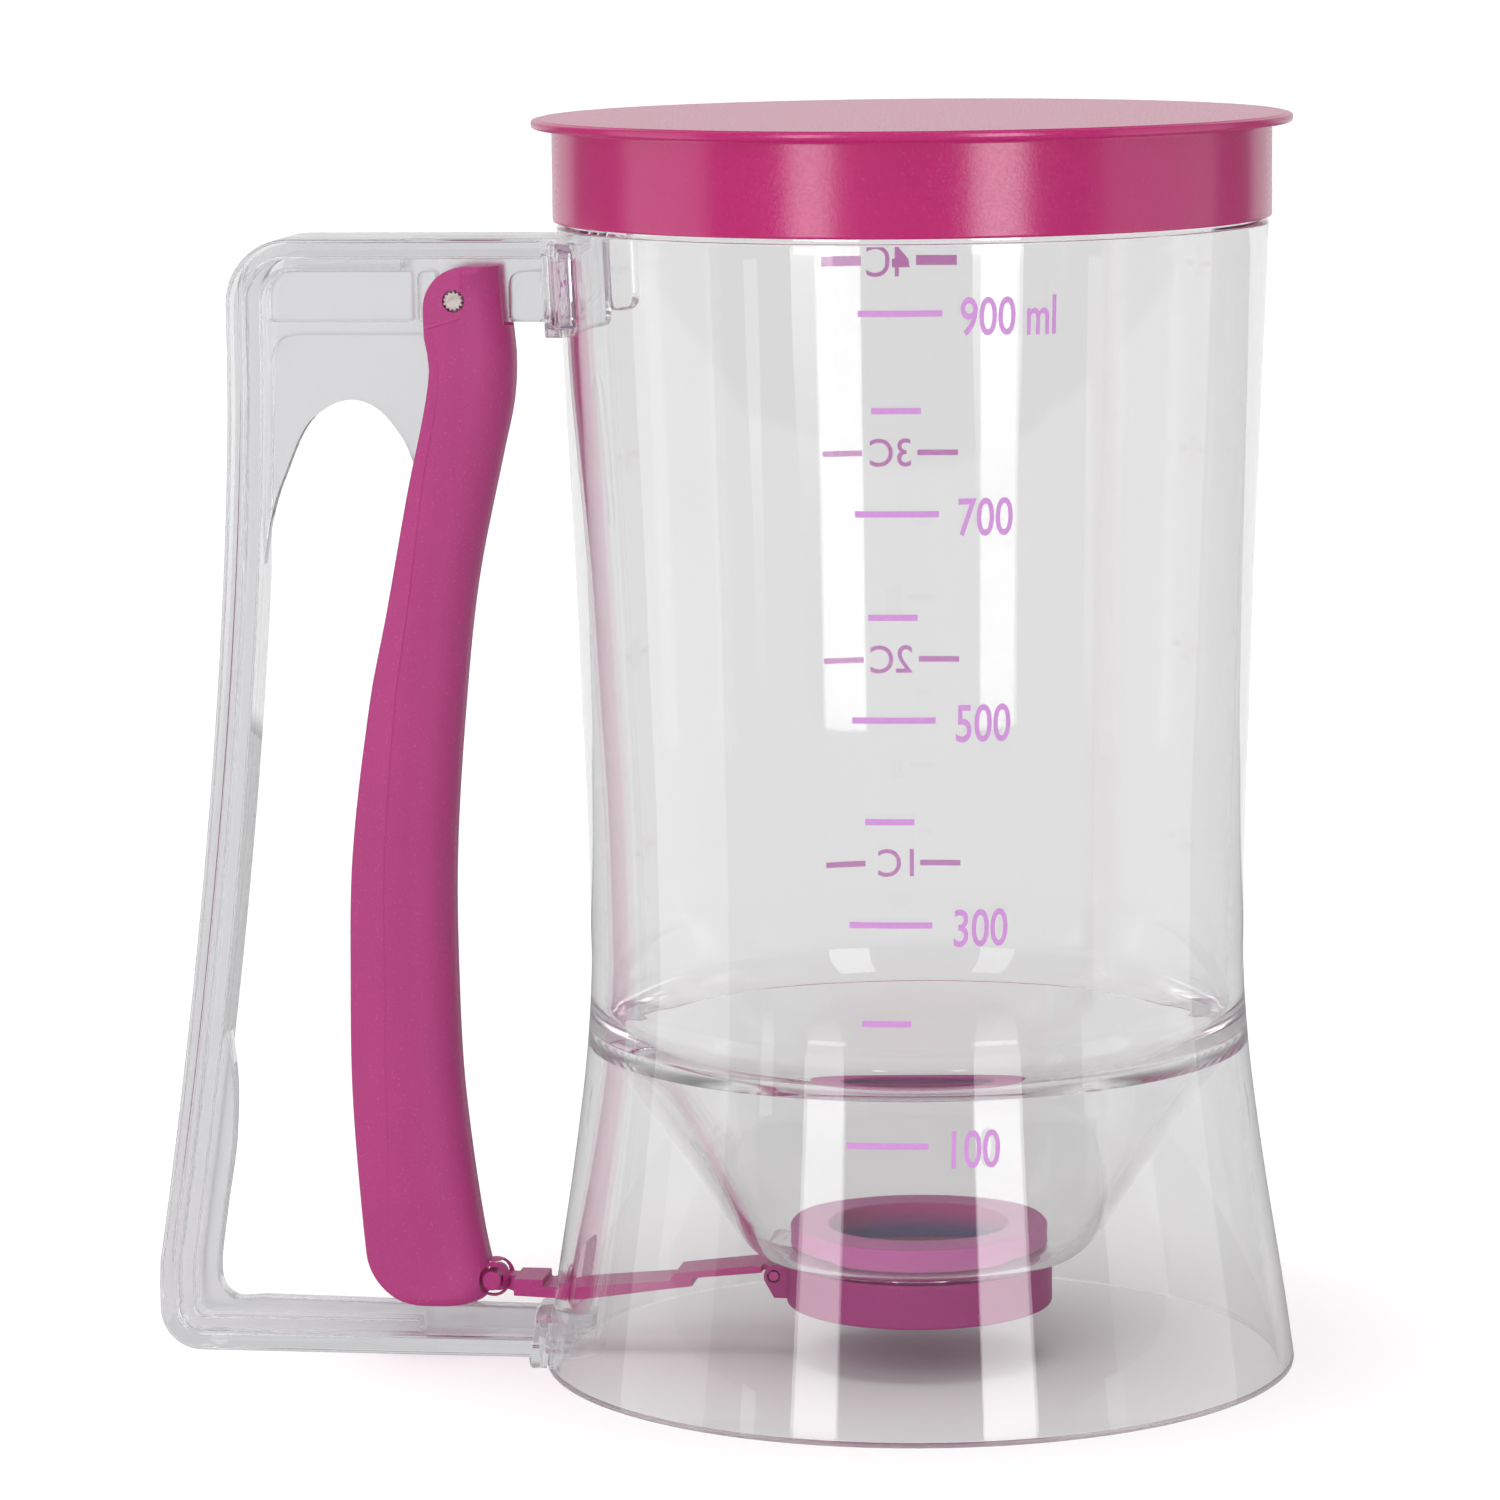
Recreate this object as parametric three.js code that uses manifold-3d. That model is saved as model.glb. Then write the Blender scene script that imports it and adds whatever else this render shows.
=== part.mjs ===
// Pancake batter dispenser: a clear waisted tub with a funnel floor, a lift-off lid, a clear handle
// and a sprung trigger that draws a sliding gate away from the outlet.
// Millimetres. +Z is up, the handle points to -X, and Z = 0 is the surface that the tub stands on.
// Each outline is worked out around the tub's axis. The finished model is then shifted along X, so
// that its origin lies at the middle of its footprint.

import * as THREE from 'three';
import { mergeVertices } from 'three/addons/utils/BufferGeometryUtils.js';
import Module from 'manifold-3d';

const wasm = await Module();
wasm.setup();

// Fineness and fits
const roundSegments = 64;
const smallSegments = 28;
const moulding = 0.3; // gap between two faces that touch on the real object
const overrun = 4; // how far a cutting solid runs past what it cuts

// Tub: one waisted wall that stands on a flared skirt
const wall = 2.2;
const baseRadius = 55.0;
const waistRadius = 47.45;
const waistHeight = 60;
const shoulderRadius = 51.1;
const shoulderHeight = 166.6;
const neckWall = 1.1;
const neckHeight = 13.7;
const rimRound = 0.3;
// How far the wall has flared, from the waist at 0 to the shoulder or to the base at 1
const upperFlareShares = [[0, 0], [0.19, 0.08], [0.36, 0.26], [0.53, 0.42], [0.77, 0.72], [1, 1]];
const lowerFlareShares = [[0, 0], [0.11, 0.04], [0.26, 0.14], [0.41, 0.29], [0.55, 0.45], [0.7, 0.64],
  [0.85, 0.83], [1, 1]];

// Funnel floor and its outlet
const funnelTop = 47.3;
const outletRadius = 9.8;
const outletEdge = 1.9;
const flangeRadius = 19.85;
const flangeThickness = 1.4;
const flangeHeight = 15.7;
const throatRadius = 18.9;
// Climb of the funnel's upper face, from the outlet's edge at 0 to the tub's wall at 1
const funnelShares = [[0, 0], [0.17, 0.035], [0.31, 0.13], [0.54, 0.36], [0.79, 0.69], [1, 1]];

// Window in the skirt that the slide bar runs through
const windowSide = 2.5; // room on each side of the bar
const windowBelow = 1.3;
const windowAbove = 5.3;
const windowCorner = 2;

// Rails on the tub's wall on both sides of the handle's upper pad
const railWidth = 8.4;
const railDepth = 2.0;
const railLift = 1.8; // how far a rail ends above the pad's lower edge
const railCorner = 3;

// Lid
const lidClearance = 0.35;
const collarWall = 1.2;
const collarDepth = 13.3;
const discOverhang = 2.95;
const discThickness = 1.4;
const discRound = 0.5;

// Handle: a C-shaped flange with a thin web along its middle
const handleWidth = 16;
const flange = 3.0;
const webThickness = 3.2;
const handleDrop = 1.8; // from the tub's shoulder down to the handle's upper face
const postOut = 33.4; // from the trigger's pivot to the post's outer face under the upper corner
const postLean = 13.3; // how much further out the post stands above its lower corner
const postLeanPower = 1.6;
const upperCorner = 9.5;
const lowerCorner = 6.2;
const footWeb = 6.0; // height of the web's upper edge along the lower bar
const padSide = 6; // how far a pad stands out beyond each side of the flange
const padThickness = 2.6;
const upperPadHeight = 14;
const lowerPadHeight = 6.8;
const panelDrop = 12.5; // from the handle's upper face to the lower edge of the upper bar's web
const panelFrame = 5.0; // from the handle's upper face to the upper edge of its two recessed panels
const panelRecess = 0.8;
const panelFromPost = 7.7; // full thickness left between the panels, on each side of the pivot
const panelFromTub = 7.2;
// The web's free edge. Across: 0 at the pivot and 1 at the post's outer face. Up: a share of the
// handle's height. It climbs the post, rounds the finger arch and ends on the tongue below the pivot
const lowerEdgeShares = [[0.98, 0.041], [1.107, 0.041], [1.169, 0.062], [1.137, 0.12], [1.09, 0.18],
  [1.077, 0.24], [1.107, 0.3], [1.125, 0.33]];
const archEdgeShares = [[1.059, 0.46], [0.991, 0.58], [0.943, 0.64], [0.863, 0.745], [0.783, 0.794],
  [0.694, 0.832], [0.584, 0.85], [0.471, 0.855], [0.361, 0.845], [0.263, 0.82], [0.212, 0.797]];
const tongueEdgeShares = [[0.153, 0.785], [0.078, 0.79], [0.02, 0.82], [-0.07, 0.885], [-0.105, 0.918]];

// Trigger: a channel, closed towards the tub, that straddles the web and hangs from the pivot
const pivotOut = 14.8; // from the tub's shoulder to the pivot
const pivotDrop = 9.1; // from the handle's upper face to the pivot
const triggerHead = 4.9; // how far the trigger rises above the pivot
const triggerBottom = 7.0;
const triggerWidth = 14.6;
const triggerWall = 2.2;
const triggerBow = 17.2; // how far the open edge bows out past the pivot
const headDepth = 3.7; // from the pivot down to where the closed back starts
const headStep = 0.8;
const headRecess = 0.5;
const webPlay = 0.35; // gap on each side between the web and the slot in the trigger's head
const backFlatShare = 0.15;
const openTopRound = 6;
const openBottomRound = 8;
const backBottomRound = 4;
const endRound = 8;
// Height along the trigger from its bottom, then the distance past the pivot as a share of the bow
const openEdgeShares = [[0, 0.86], [0.1, 0.94], [0.21, 1], [0.31, 1], [0.44, 0.96], [0.59, 0.78],
  [0.67, 0.63], [0.79, 0.42], [0.865, 0.27], [0.907, 0.22], [0.934, 0.26], [1, 0.26]];
const backEdgeShares = [[0, -0.19], [0.075, -0.05], [0.2, 0.09], [0.29, 0.13], [0.43, 0.13], [0.58, 0.03],
  [0.7, -0.1], [0.82, -0.33], [0.87, -0.43], [0.91, -0.455], [0.944, -0.43], [1, -0.37]];
// Width of the flat strip along the open edge, as a share of the trigger's width
const creaseShares = [[0, 0.2], [0.1, 0.3], [0.2, 0.37], [0.45, 0.35], [0.7, 0.22], [0.85, 0.14], [1, 0.14]];
// Outline of the recess around the pivot: distance past the pivot, then above it, as shares of the head
const headRecessShares = [[-0.3, 1.3], [-0.25, 0.18], [-0.56, 0], [-0.58, -0.41], [-0.05, -0.6], [1.3, -1]];

// Pivot pin
const pinRadius = 1.5;
const pinNotches = 14;
const pinNotchDepth = 0.2;
const pinProud = 0.1;
const pinFit = 0.12;

// Return spring
const wireRadius = 0.3;
const coilRadius = 2.4;
const coilTurns = 2.15;
const coilPitch = 1.1;
const coilStart = Math.PI / 3;
const pocketPlay = 0.4;
const stepsPerTurn = 8;
const wireSides = 5;
const springLeg = 10;
const springFoot = 3.6;
const springLegSteps = 3;

// Slide bar, with a cross pin at the trigger's end and another at the gate's end
const barWidth = 8;
const crossPinInset = 2.6; // how much nearer to the tub's axis the cross pin lies than the pivot
const crossPinHeight = 10.4;
const crossPinRadius = 1.45;
const crossPinFit = 0.3;
const crossPinPlay = 0.35; // extra height of the cross pin's slots, up and down
const crossPinShort = 3.8; // how far each of its ends stays inside the trigger's side
const eyeWall = 1.45;
const eyeSide = 0.8;
const barSlotAbove = 2.6;
const endTongueWidth = 3.2;
const tongueWidth = 4;
const stopHeight = 10.9;
// Outline of the bar. Along: 0 at the gate's lug and 1 at the cross pin. Up: a share of the stop's height
const barTopShares = [[0.919, 1], [0.815, 1], [0.815, 0.89], [0.367, 1.028], [0.349, 1.138], [0.078, 1.261],
  [0.033, 1.25]];
const barBottomShares = [[0.033, 1.174], [0.283, 1.076], [0.286, 0.963], [0.685, 0.752], [0.8, 0.752],
  [0.919, 0.77]];

// Gate that closes the outlet
const gateInset = 0.35; // how much smaller its radius is than the flange's
const gateDepth = 7.1;
const gatePlate = 2.0;
const gateWall = 1.6;
const gateEdge = 0.5;
const lugOut = 1.6; // from the gate's side to the lug's hole
const lugDrop = 3.2; // from the gate's upper face to the lug's hole
const lugFoot = 0.6;
const lugPinRadius = 0.75;
const lugHub = 1.2;
const lugRadius = 1.5;
const lugWall = 1.4;
const lugGap = 0.3;

// Sizes that follow from those above
const handleTop = shoulderHeight - handleDrop;
const pivotReach = shoulderRadius + pivotOut;
const pivotHeight = handleTop - pivotDrop;
const postReach = pivotReach + postOut;
const panelEdge = handleTop - panelDrop;
const padHalfWidth = handleWidth / 2 + padSide;
const tubInside = Math.min(baseRadius, waistRadius, shoulderRadius) - wall;
const crossPinReach = pivotReach - crossPinInset;
const crossPinHalf = triggerWidth / 2 - crossPinShort;
const eyeRadius = crossPinRadius + eyeWall;
const gateRadius = flangeRadius - gateInset;
const gateBottom = flangeHeight - moulding - gateDepth;
const lugReach = gateRadius + lugOut;
const lugHeight = flangeHeight - moulding - lugDrop;
const barEnd = lugReach + lugRadius + moulding;
const barLength = crossPinReach - lugReach;
const stopStart = lugReach + barLength * barTopShares[0][0];
const neckRadius = shoulderRadius - wall + neckWall;
const neckTop = shoulderHeight + neckHeight;
const splitHeight = funnelTop - wall / 2;
const lidUnderside = neckTop + moulding;
const collarRadius = neckRadius + lidClearance + collarWall;
const triggerTop = pivotHeight + triggerHead;
const triggerLength = triggerTop - triggerBottom;
const gateTop = flangeHeight - moulding;
const postOuter = postReach + postLean;
const webHalf = webThickness / 2;
const channelHalf = triggerWidth / 2 - triggerWall;

// Value of a table of shares, smooth between its rows
function smoothShare(shares, at) {
  const last = shares.length - 1;
  let row = 0;
  while (row < last - 1 && at > shares[row + 1][0]) row += 1;
  const slope = (i) => {
    const before = shares[Math.max(i - 1, 0)];
    const after = shares[Math.min(i + 1, last)];
    return (after[1] - before[1]) / (after[0] - before[0]);
  };
  const [x0, y0] = shares[row];
  const [x1, y1] = shares[row + 1];
  const span = x1 - x0;
  const t = (at - x0) / span;
  const rise = t * t * (3 - 2 * t);
  const bend = slope(row) * (t - 2 * t * t + t ** 3) + slope(row + 1) * (t ** 3 - t * t);
  return y0 + (y1 - y0) * rise + span * bend;
}

function blend(a, b, share) {
  return a + (b - a) * share;
}

function bodyRadius(height) {
  if (height >= waistHeight) {
    const share = (height - waistHeight) / (shoulderHeight - waistHeight);
    return blend(waistRadius, shoulderRadius, smoothShare(upperFlareShares, share));
  }
  const share = (waistHeight - height) / waistHeight;
  return blend(waistRadius, baseRadius, smoothShare(lowerFlareShares, share));
}

function steps(start, end, count) {
  return Array.from({ length: count + 1 }, (_, i) => blend(start, end, i / count));
}

// Turn a closed mesh into a solid, with its faces pointing out
function solid(geometry) {
  const bare = geometry.index ? geometry.clone() : geometry;
  bare.deleteAttribute('normal');
  bare.deleteAttribute('uv');
  const merged = mergeVertices(bare, 1e-4);
  const points = merged.attributes.position.array;
  const kept = [];
  for (let i = 0; i < merged.index.count; i += 3) {
    const [a, b, c] = [0, 1, 2].map((k) => merged.index.getX(i + k));
    if (a !== b && b !== c && c !== a) kept.push(a, b, c);
  }
  const mesh = { numProp: 3, vertProperties: Float32Array.from(points), triVerts: Uint32Array.from(kept) };
  if (enclosedVolume(mesh) < 0) mesh.triVerts.reverse();
  return new wasm.Manifold(new wasm.Mesh(mesh));
}

function enclosedVolume({ vertProperties, triVerts }) {
  const corner = (i) => new THREE.Vector3().fromArray(vertProperties, 3 * triVerts[i]);
  let sum = 0;
  for (let i = 0; i < triVerts.length; i += 3) {
    sum += corner(i).dot(corner(i + 1).cross(corner(i + 2)));
  }
  return sum;
}

function join(...solids) {
  return solids.reduce((whole, next) => whole.add(next));
}

function cut(body, ...tools) {
  return tools.reduce((whole, tool) => whole.subtract(tool), body);
}

// Solid of revolution about Z from [radius, height] points that start and end on the axis
// or, with closed set, go round a ring's section
function turned(points, closed = false, segments = roundSegments) {
  const profile = points.map(([radius, height]) => new THREE.Vector2(radius, height));
  if (closed) profile.push(profile[0].clone());
  return solid(new THREE.LatheGeometry(profile, segments).rotateX(Math.PI / 2));
}

// Upright plate: an outline in X and Z, as thick as given along Y and centred on it
function plate(outline, thickness, middle = 0) {
  const shape = Array.isArray(outline) ? new THREE.Shape(outline.map(([x, z]) => new THREE.Vector2(x, z))) : outline;
  const geometry = new THREE.ExtrudeGeometry(shape, {
    depth: thickness, bevelEnabled: false, curveSegments: smallSegments / 4,
  });
  return solid(geometry.rotateX(Math.PI / 2).translate(0, middle + thickness / 2, 0));
}

// Round bar along Y
function crossBar(radius, length, x, z, middle = 0) {
  const geometry = new THREE.CylinderGeometry(radius, radius, length, smallSegments);
  return solid(geometry.translate(x, middle, z));
}

function block(x0, x1, y0, y1, z0, z1) {
  const geometry = new THREE.BoxGeometry(x1 - x0, y1 - y0, z1 - z0);
  return solid(geometry.translate((x0 + x1) / 2, (y0 + y1) / 2, (z0 + z1) / 2));
}

// Plate on the handle's side of the tub: an outline in Y and Z, with round corners, run along X
function sidePlate(y0, y1, z0, z1, corner) {
  const shape = new THREE.Shape();
  shape.moveTo(y0 + corner, z0);
  shape.lineTo(y1 - corner, z0);
  shape.absarc(y1 - corner, z0 + corner, corner, -Math.PI / 2, 0);
  shape.absarc(y1 - corner, z1 - corner, corner, 0, Math.PI / 2);
  shape.absarc(y0 + corner, z1 - corner, corner, Math.PI / 2, Math.PI);
  shape.absarc(y0 + corner, z0 + corner, corner, Math.PI, 1.5 * Math.PI);
  const depth = Math.max(baseRadius, shoulderRadius) + padThickness + overrun;
  const geometry = new THREE.ExtrudeGeometry(shape, { depth, bevelEnabled: false, curveSegments: 4 });
  return solid(geometry.rotateX(Math.PI / 2).rotateZ(Math.PI / 2).translate(-depth, 0, 0));
}

// Ring that follows the tub's outer face between two heights, from one depth to another
function tubShell(z0, z1, near, far, count = 4) {
  const heights = steps(z0, z1, count);
  const inside = heights.map((z) => [bodyRadius(z) + near, z]);
  const outside = heights.map((z) => [bodyRadius(z) + far, z]).reverse();
  return turned([...inside, ...outside], true);
}

function tubWall() {
  const outside = steps(splitHeight, shoulderHeight, 6).map((z) => [bodyRadius(z), z]);
  const inside = steps(shoulderHeight, splitHeight, 5).map((z) => [bodyRadius(z) - wall, z]);
  const neck = [[neckRadius, shoulderHeight], [neckRadius, neckTop - rimRound],
    [neckRadius - rimRound, neckTop], [shoulderRadius - wall + rimRound, neckTop],
    [shoulderRadius - wall, neckTop - rimRound]];
  const tub = turned([...outside, ...neck, ...inside], true);
  const railBottom = handleTop - upperPadHeight + railLift;
  const around = tubShell(railBottom, handleTop, -wall / 2, railDepth);
  const inner = padHalfWidth + moulding;
  const rails = [inner, -inner - railWidth].map((y) => around.intersect(
    sidePlate(y, y + railWidth, railBottom, handleTop + overrun, railCorner),
  ));
  return join(tub, ...rails);
}

function funnelPoint(share) {
  const rim = bodyRadius(funnelTop) - wall - moulding;
  const start = flangeHeight + outletEdge;
  return [blend(outletRadius, rim, share), blend(start, funnelTop, smoothShare(funnelShares, share))];
}

function funnelFloor() {
  const upper = steps(0, 1, 8).map(funnelPoint);
  const lower = steps(1, 0, 8).map((share) => {
    const [r0, z0] = funnelPoint(Math.max(share - 0.01, 0));
    const [r1, z1] = funnelPoint(Math.min(share + 0.01, 1));
    const [radius, height] = funnelPoint(share);
    return [radius, height - wall * Math.hypot(1, (z1 - z0) / (r1 - r0))];
  }).filter(([radius, height]) => radius > throatRadius + wall / 2 && height > flangeHeight + flangeThickness);
  const foot = [[throatRadius, flangeHeight + flangeThickness], [flangeRadius, flangeHeight + flangeThickness],
    [flangeRadius, flangeHeight], [outletRadius, flangeHeight]];
  return turned([...upper, ...lower, ...foot], true);
}

function baseSkirt() {
  const top = splitHeight - moulding;
  const outside = steps(rimRound, top, 5).map((z) => [bodyRadius(z), z]);
  const inside = steps(top, rimRound, 5).map((z) => [bodyRadius(z) - wall, z]);
  const foot = [[baseRadius - wall + rimRound, 0], [baseRadius - rimRound, 0]];
  const skirt = turned([...outside, ...inside, ...foot], true);
  const barBottom = stopHeight * barBottomShares.at(-2)[1];
  const halfWidth = barWidth / 2 + windowSide;
  return cut(skirt, sidePlate(
    -halfWidth, halfWidth, barBottom - windowBelow, stopHeight + windowAbove, windowCorner,
  ));
}

function lid() {
  const top = lidUnderside + discThickness;
  const disc = collarRadius + discOverhang;
  const bottom = lidUnderside - collarDepth;
  return turned([
    [0, top], [disc - discRound, top], [disc, top - discRound], [disc, lidUnderside + discRound],
    [disc - discRound, lidUnderside], [collarRadius, lidUnderside],
    [collarRadius, bottom + rimRound], [collarRadius - rimRound, bottom],
    [collarRadius - collarWall, bottom], [collarRadius - collarWall, lidUnderside], [0, lidUnderside],
  ]);
}

// Outer face of the handle's post at a height
function postFace(height) {
  const low = 2 * lowerCorner;
  const high = handleTop - 2 * upperCorner;
  const share = THREE.MathUtils.clamp((height - low) / (high - low), 0, 1);
  return -postReach - postLean * (1 - share) ** postLeanPower;
}

function cornerArc(x, z, radius, start, end, count) {
  return steps(start, end, count).map((a) => [x + radius * Math.cos(a), z + radius * Math.sin(a)]);
}

// Middle line of the flange, set in from its outer face, from the tub round the post and back
function handleLine(inset) {
  const inner = -tubInside;
  const topX = postFace(handleTop - upperCorner) + upperCorner;
  const footX = postFace(lowerCorner) + lowerCorner;
  const post = steps(handleTop - 1.3 * upperCorner, 1.6 * lowerCorner, 9);
  return [
    [inner, handleTop - inset],
    ...cornerArc(topX, handleTop - upperCorner, upperCorner - inset, Math.PI / 2, Math.PI, 6),
    ...post.map((z) => [postFace(z) + inset, z]),
    ...cornerArc(footX, lowerCorner, lowerCorner - inset, Math.PI, 1.5 * Math.PI, 5),
    [inner, inset],
  ];
}

function webOutline() {
  const point = ([across, up]) => [-pivotReach - across * postOut, up * handleTop];
  const smooth = (shares, count) => new THREE.SplineCurve(
    shares.map(point).map(([x, z]) => new THREE.Vector2(x, z)),
  ).getPoints(count).map((p) => [p.x, p.y]);
  const innerEnd = -tubInside;
  return [
    ...handleLine(flange / 2),
    [innerEnd, footWeb],
    ...smooth(lowerEdgeShares, 16),
    ...smooth([...archEdgeShares, ...tongueEdgeShares], 34),
    [point(tongueEdgeShares.at(-1))[0], panelEdge],
    [innerEnd, panelEdge],
  ];
}

// Shallow panels pressed into both sides of the upper bar's web, on both sides of the pivot
function panelCuts() {
  const spans = [[-postReach + 2 * flange, -pivotReach - panelFromPost],
    [-pivotReach + panelFromTub, -shoulderRadius - padThickness]];
  return spans.flatMap(([x0, x1]) => [-1, 1].map((side) => {
    const outer = side * (webHalf + overrun);
    const inner = side * (webHalf - panelRecess);
    return block(x0, x1, Math.min(outer, inner), Math.max(outer, inner), panelEdge, handleTop - panelFrame);
  }));
}

function handleFrame() {
  const rim = plate([...handleLine(0), ...handleLine(flange).reverse()], handleWidth);
  const web = cut(plate(webOutline(), webThickness), ...panelCuts());
  const upperPad = tubShell(handleTop - upperPadHeight, handleTop, 0, padThickness).intersect(
    sidePlate(-padHalfWidth, padHalfWidth, handleTop - upperPadHeight, handleTop + overrun, overrun / 2),
  );
  const lowerPad = tubShell(0, lowerPadHeight, 0, padThickness).intersect(
    sidePlate(-padHalfWidth, padHalfWidth, -overrun, lowerPadHeight, overrun / 2),
  );
  const frame = join(rim, web, upperPad, lowerPad);
  const heights = [-overrun, ...steps(0, shoulderHeight, 16)];
  const room = turned([
    [0, -overrun], ...heights.map((z) => [bodyRadius(Math.max(z, 0)) + moulding, z]), [0, shoulderHeight],
  ]);
  const pinHole = crossBar(pinRadius + pinFit, handleWidth, -pivotReach, pivotHeight);
  return cut(frame, room, pinHole);
}

// Pull-in of an edge at a distance from the end, for a round corner
function cornerPull(distance, radius) {
  if (distance >= radius) return 0;
  return radius - Math.sqrt(radius ** 2 - (radius - Math.max(distance, 0)) ** 2);
}

// Edges of the trigger at a height, and how its closed back is rounded there
function triggerEdges(height) {
  const share = (height - triggerBottom) / triggerLength;
  const fromTop = triggerTop - height;
  const fromBottom = height - triggerBottom;
  const open = -pivotReach - triggerBow * smoothShare(openEdgeShares, share)
    + cornerPull(fromTop, openTopRound) + cornerPull(fromBottom, openBottomRound);
  const back = -pivotReach - triggerBow * smoothShare(backEdgeShares, share)
    - cornerPull(fromBottom, backBottomRound);
  const crease = triggerWidth * smoothShare(creaseShares, share);
  return {
    open, back,
    roundX: Math.max(back - open - crease, wall),
    roundY: (1 - backFlatShare) * triggerWidth / 2,
  };
}

// Section of the trigger at a height, set in from its outer faces; inset 0 gives the outer form
function triggerSection(height, inset) {
  const { open, back, roundX, roundY } = triggerEdges(height);
  const half = triggerWidth / 2 - inset;
  const ax = Math.max(roundX - inset, moulding);
  const ay = Math.max(roundY - inset, moulding);
  const start = inset > 0 ? open - overrun : open;
  const side = steps(0, Math.PI / 2, 5).map((a) => [
    back - inset - ax + ax * Math.sin(a), half - ay + ay * Math.cos(a),
  ]);
  const far = [[start, half], ...side];
  return [...far.map(([x, y]) => [x, -y]), ...far.reverse()];
}

// Solid through a pile of level sections with the same number of points each
function lofted(sections) {
  const count = sections[0].points.length;
  const positions = sections.flatMap(({ height, points }) => points.flatMap(([x, y]) => [x, y, height]));
  const index = [];
  for (let row = 0; row < sections.length - 1; row += 1) {
    for (let i = 0; i < count; i += 1) {
      const a = row * count + i;
      const b = row * count + (i + 1) % count;
      index.push(a, b, a + count, b, b + count, a + count);
    }
  }
  const face = THREE.ShapeUtils.triangulateShape(sections[0].points.map(([x, y]) => new THREE.Vector2(x, y)), []);
  const last = (sections.length - 1) * count;
  for (const [a, b, c] of face) index.push(a, c, b);
  const roof = THREE.ShapeUtils.triangulateShape(sections.at(-1).points.map(([x, y]) => new THREE.Vector2(x, y)), []);
  for (const [a, b, c] of roof) index.push(last + a, last + b, last + c);
  const geometry = new THREE.BufferGeometry();
  geometry.setAttribute('position', new THREE.Float32BufferAttribute(positions, 3));
  geometry.setIndex(index);
  return solid(geometry);
}

function triggerHeights(bottom, top) {
  const ends = steps(0, Math.PI / 2, 5).map((a) => endRound * (1 - Math.cos(a)));
  return [
    ...ends.map((d) => bottom + d), ...steps(bottom + endRound, top - endRound, 15).slice(1, -1),
    ...ends.map((d) => top - d).reverse(),
  ];
}

function trigger() {
  const outer = lofted(triggerHeights(triggerBottom, triggerTop).map((height) => (
    { height, points: triggerSection(height, 0) })));
  const backTop = pivotHeight - headDepth;
  const inner = lofted(steps(triggerBottom + triggerWall, triggerTop + moulding, 19).map((height) => (
    { height, points: triggerSection(height, triggerWall) })));
  const eye = solid(new THREE.SphereGeometry(eyeRadius, smallSegments, smallSegments / 2)
    .scale(1, (crossPinHalf + eyeSide) / eyeRadius, 1).translate(-crossPinReach, 0, crossPinHeight));
  const webRoom = webHalf + webPlay;
  const webSlot = block(-postReach, 0, -webRoom, webRoom, backTop - moulding, triggerTop + overrun);
  const { back } = triggerEdges(backTop);
  const step = plate([
    [back - headStep, backTop], [back - headStep - headStep, triggerTop + overrun],
    [back + overrun, triggerTop + overrun], [back + overrun, backTop],
  ], triggerWidth + overrun);
  const coilPocket = crossBar(coilRadius + wireRadius + pocketPlay, 2 * channelHalf, -pivotReach, pivotHeight);
  const barRoom = endTongueWidth / 2 + moulding;
  const barSlot = block(
    -crossPinReach - eyeRadius, -crossPinReach + eyeRadius + overrun, -barRoom, barRoom,
    0, crossPinHeight + barSlotAbove,
  );
  const recessOutline = headRecessShares.map(([out, up]) => (
    [-pivotReach - out * triggerHead, pivotHeight + up * triggerHead]));
  const recesses = [-1, 1].map((side) => plate(
    recessOutline, overrun, side * (triggerWidth / 2 - headRecess + overrun / 2),
  ));
  const pinHole = crossBar(pinRadius + pinFit, 2 * triggerWidth, -pivotReach, pivotHeight);
  const slotRadius = crossPinRadius + crossPinFit;
  const slots = [-crossPinPlay, crossPinPlay].map((play) => crossBar(
    slotRadius, triggerWidth, -crossPinReach, crossPinHeight + play,
  ));
  const slotMiddle = block(
    -crossPinReach - slotRadius, -crossPinReach + slotRadius,
    -triggerWidth / 2, triggerWidth / 2, crossPinHeight - crossPinPlay, crossPinHeight + crossPinPlay,
  );
  return cut(
    join(outer, eye), inner, webSlot, step, coilPocket, barSlot, ...recesses, pinHole, ...slots, slotMiddle,
  );
}

// Steel pin with a knurled rim that grips the trigger's cheeks
function pivotPin() {
  const count = 4 * pinNotches;
  const rim = Array.from({ length: count }, (_, i) => {
    const radius = i % 4 < 2 ? pinRadius : pinRadius - pinNotchDepth;
    const angle = (2 * Math.PI * i) / count;
    return [-pivotReach + radius * Math.cos(angle), pivotHeight + radius * Math.sin(angle)];
  });
  return plate(rim, triggerWidth - 2 * headRecess + 2 * pinProud);
}

// Wire line of the return spring: a leg under the upper bar, the coil, and a leg down the trigger's back
function springLine() {
  const turn = 2 * Math.PI * coilTurns;
  const firstY = webHalf + webPlay + wireRadius;
  const coil = steps(0, 1, Math.round(stepsPerTurn * coilTurns)).map((share) => {
    const angle = coilStart - share * turn;
    return new THREE.Vector3(
      -pivotReach + coilRadius * Math.cos(angle),
      firstY + (1 - share) * coilTurns * coilPitch,
      pivotHeight + coilRadius * Math.sin(angle),
    );
  });
  const leg = (end, angle, away, length) => steps(length / springLegSteps, length, springLegSteps - 1).map((d) => (
    end.clone().add(new THREE.Vector3(-away * d * Math.sin(angle), 0, away * d * Math.cos(angle)))));
  const underBar = leg(coil[0], coilStart, 1, springFoot).reverse();
  const downTrigger = leg(coil.at(-1), coilStart - turn, -1, springLeg);
  return [...underBar, ...coil, ...downTrigger];
}

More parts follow.
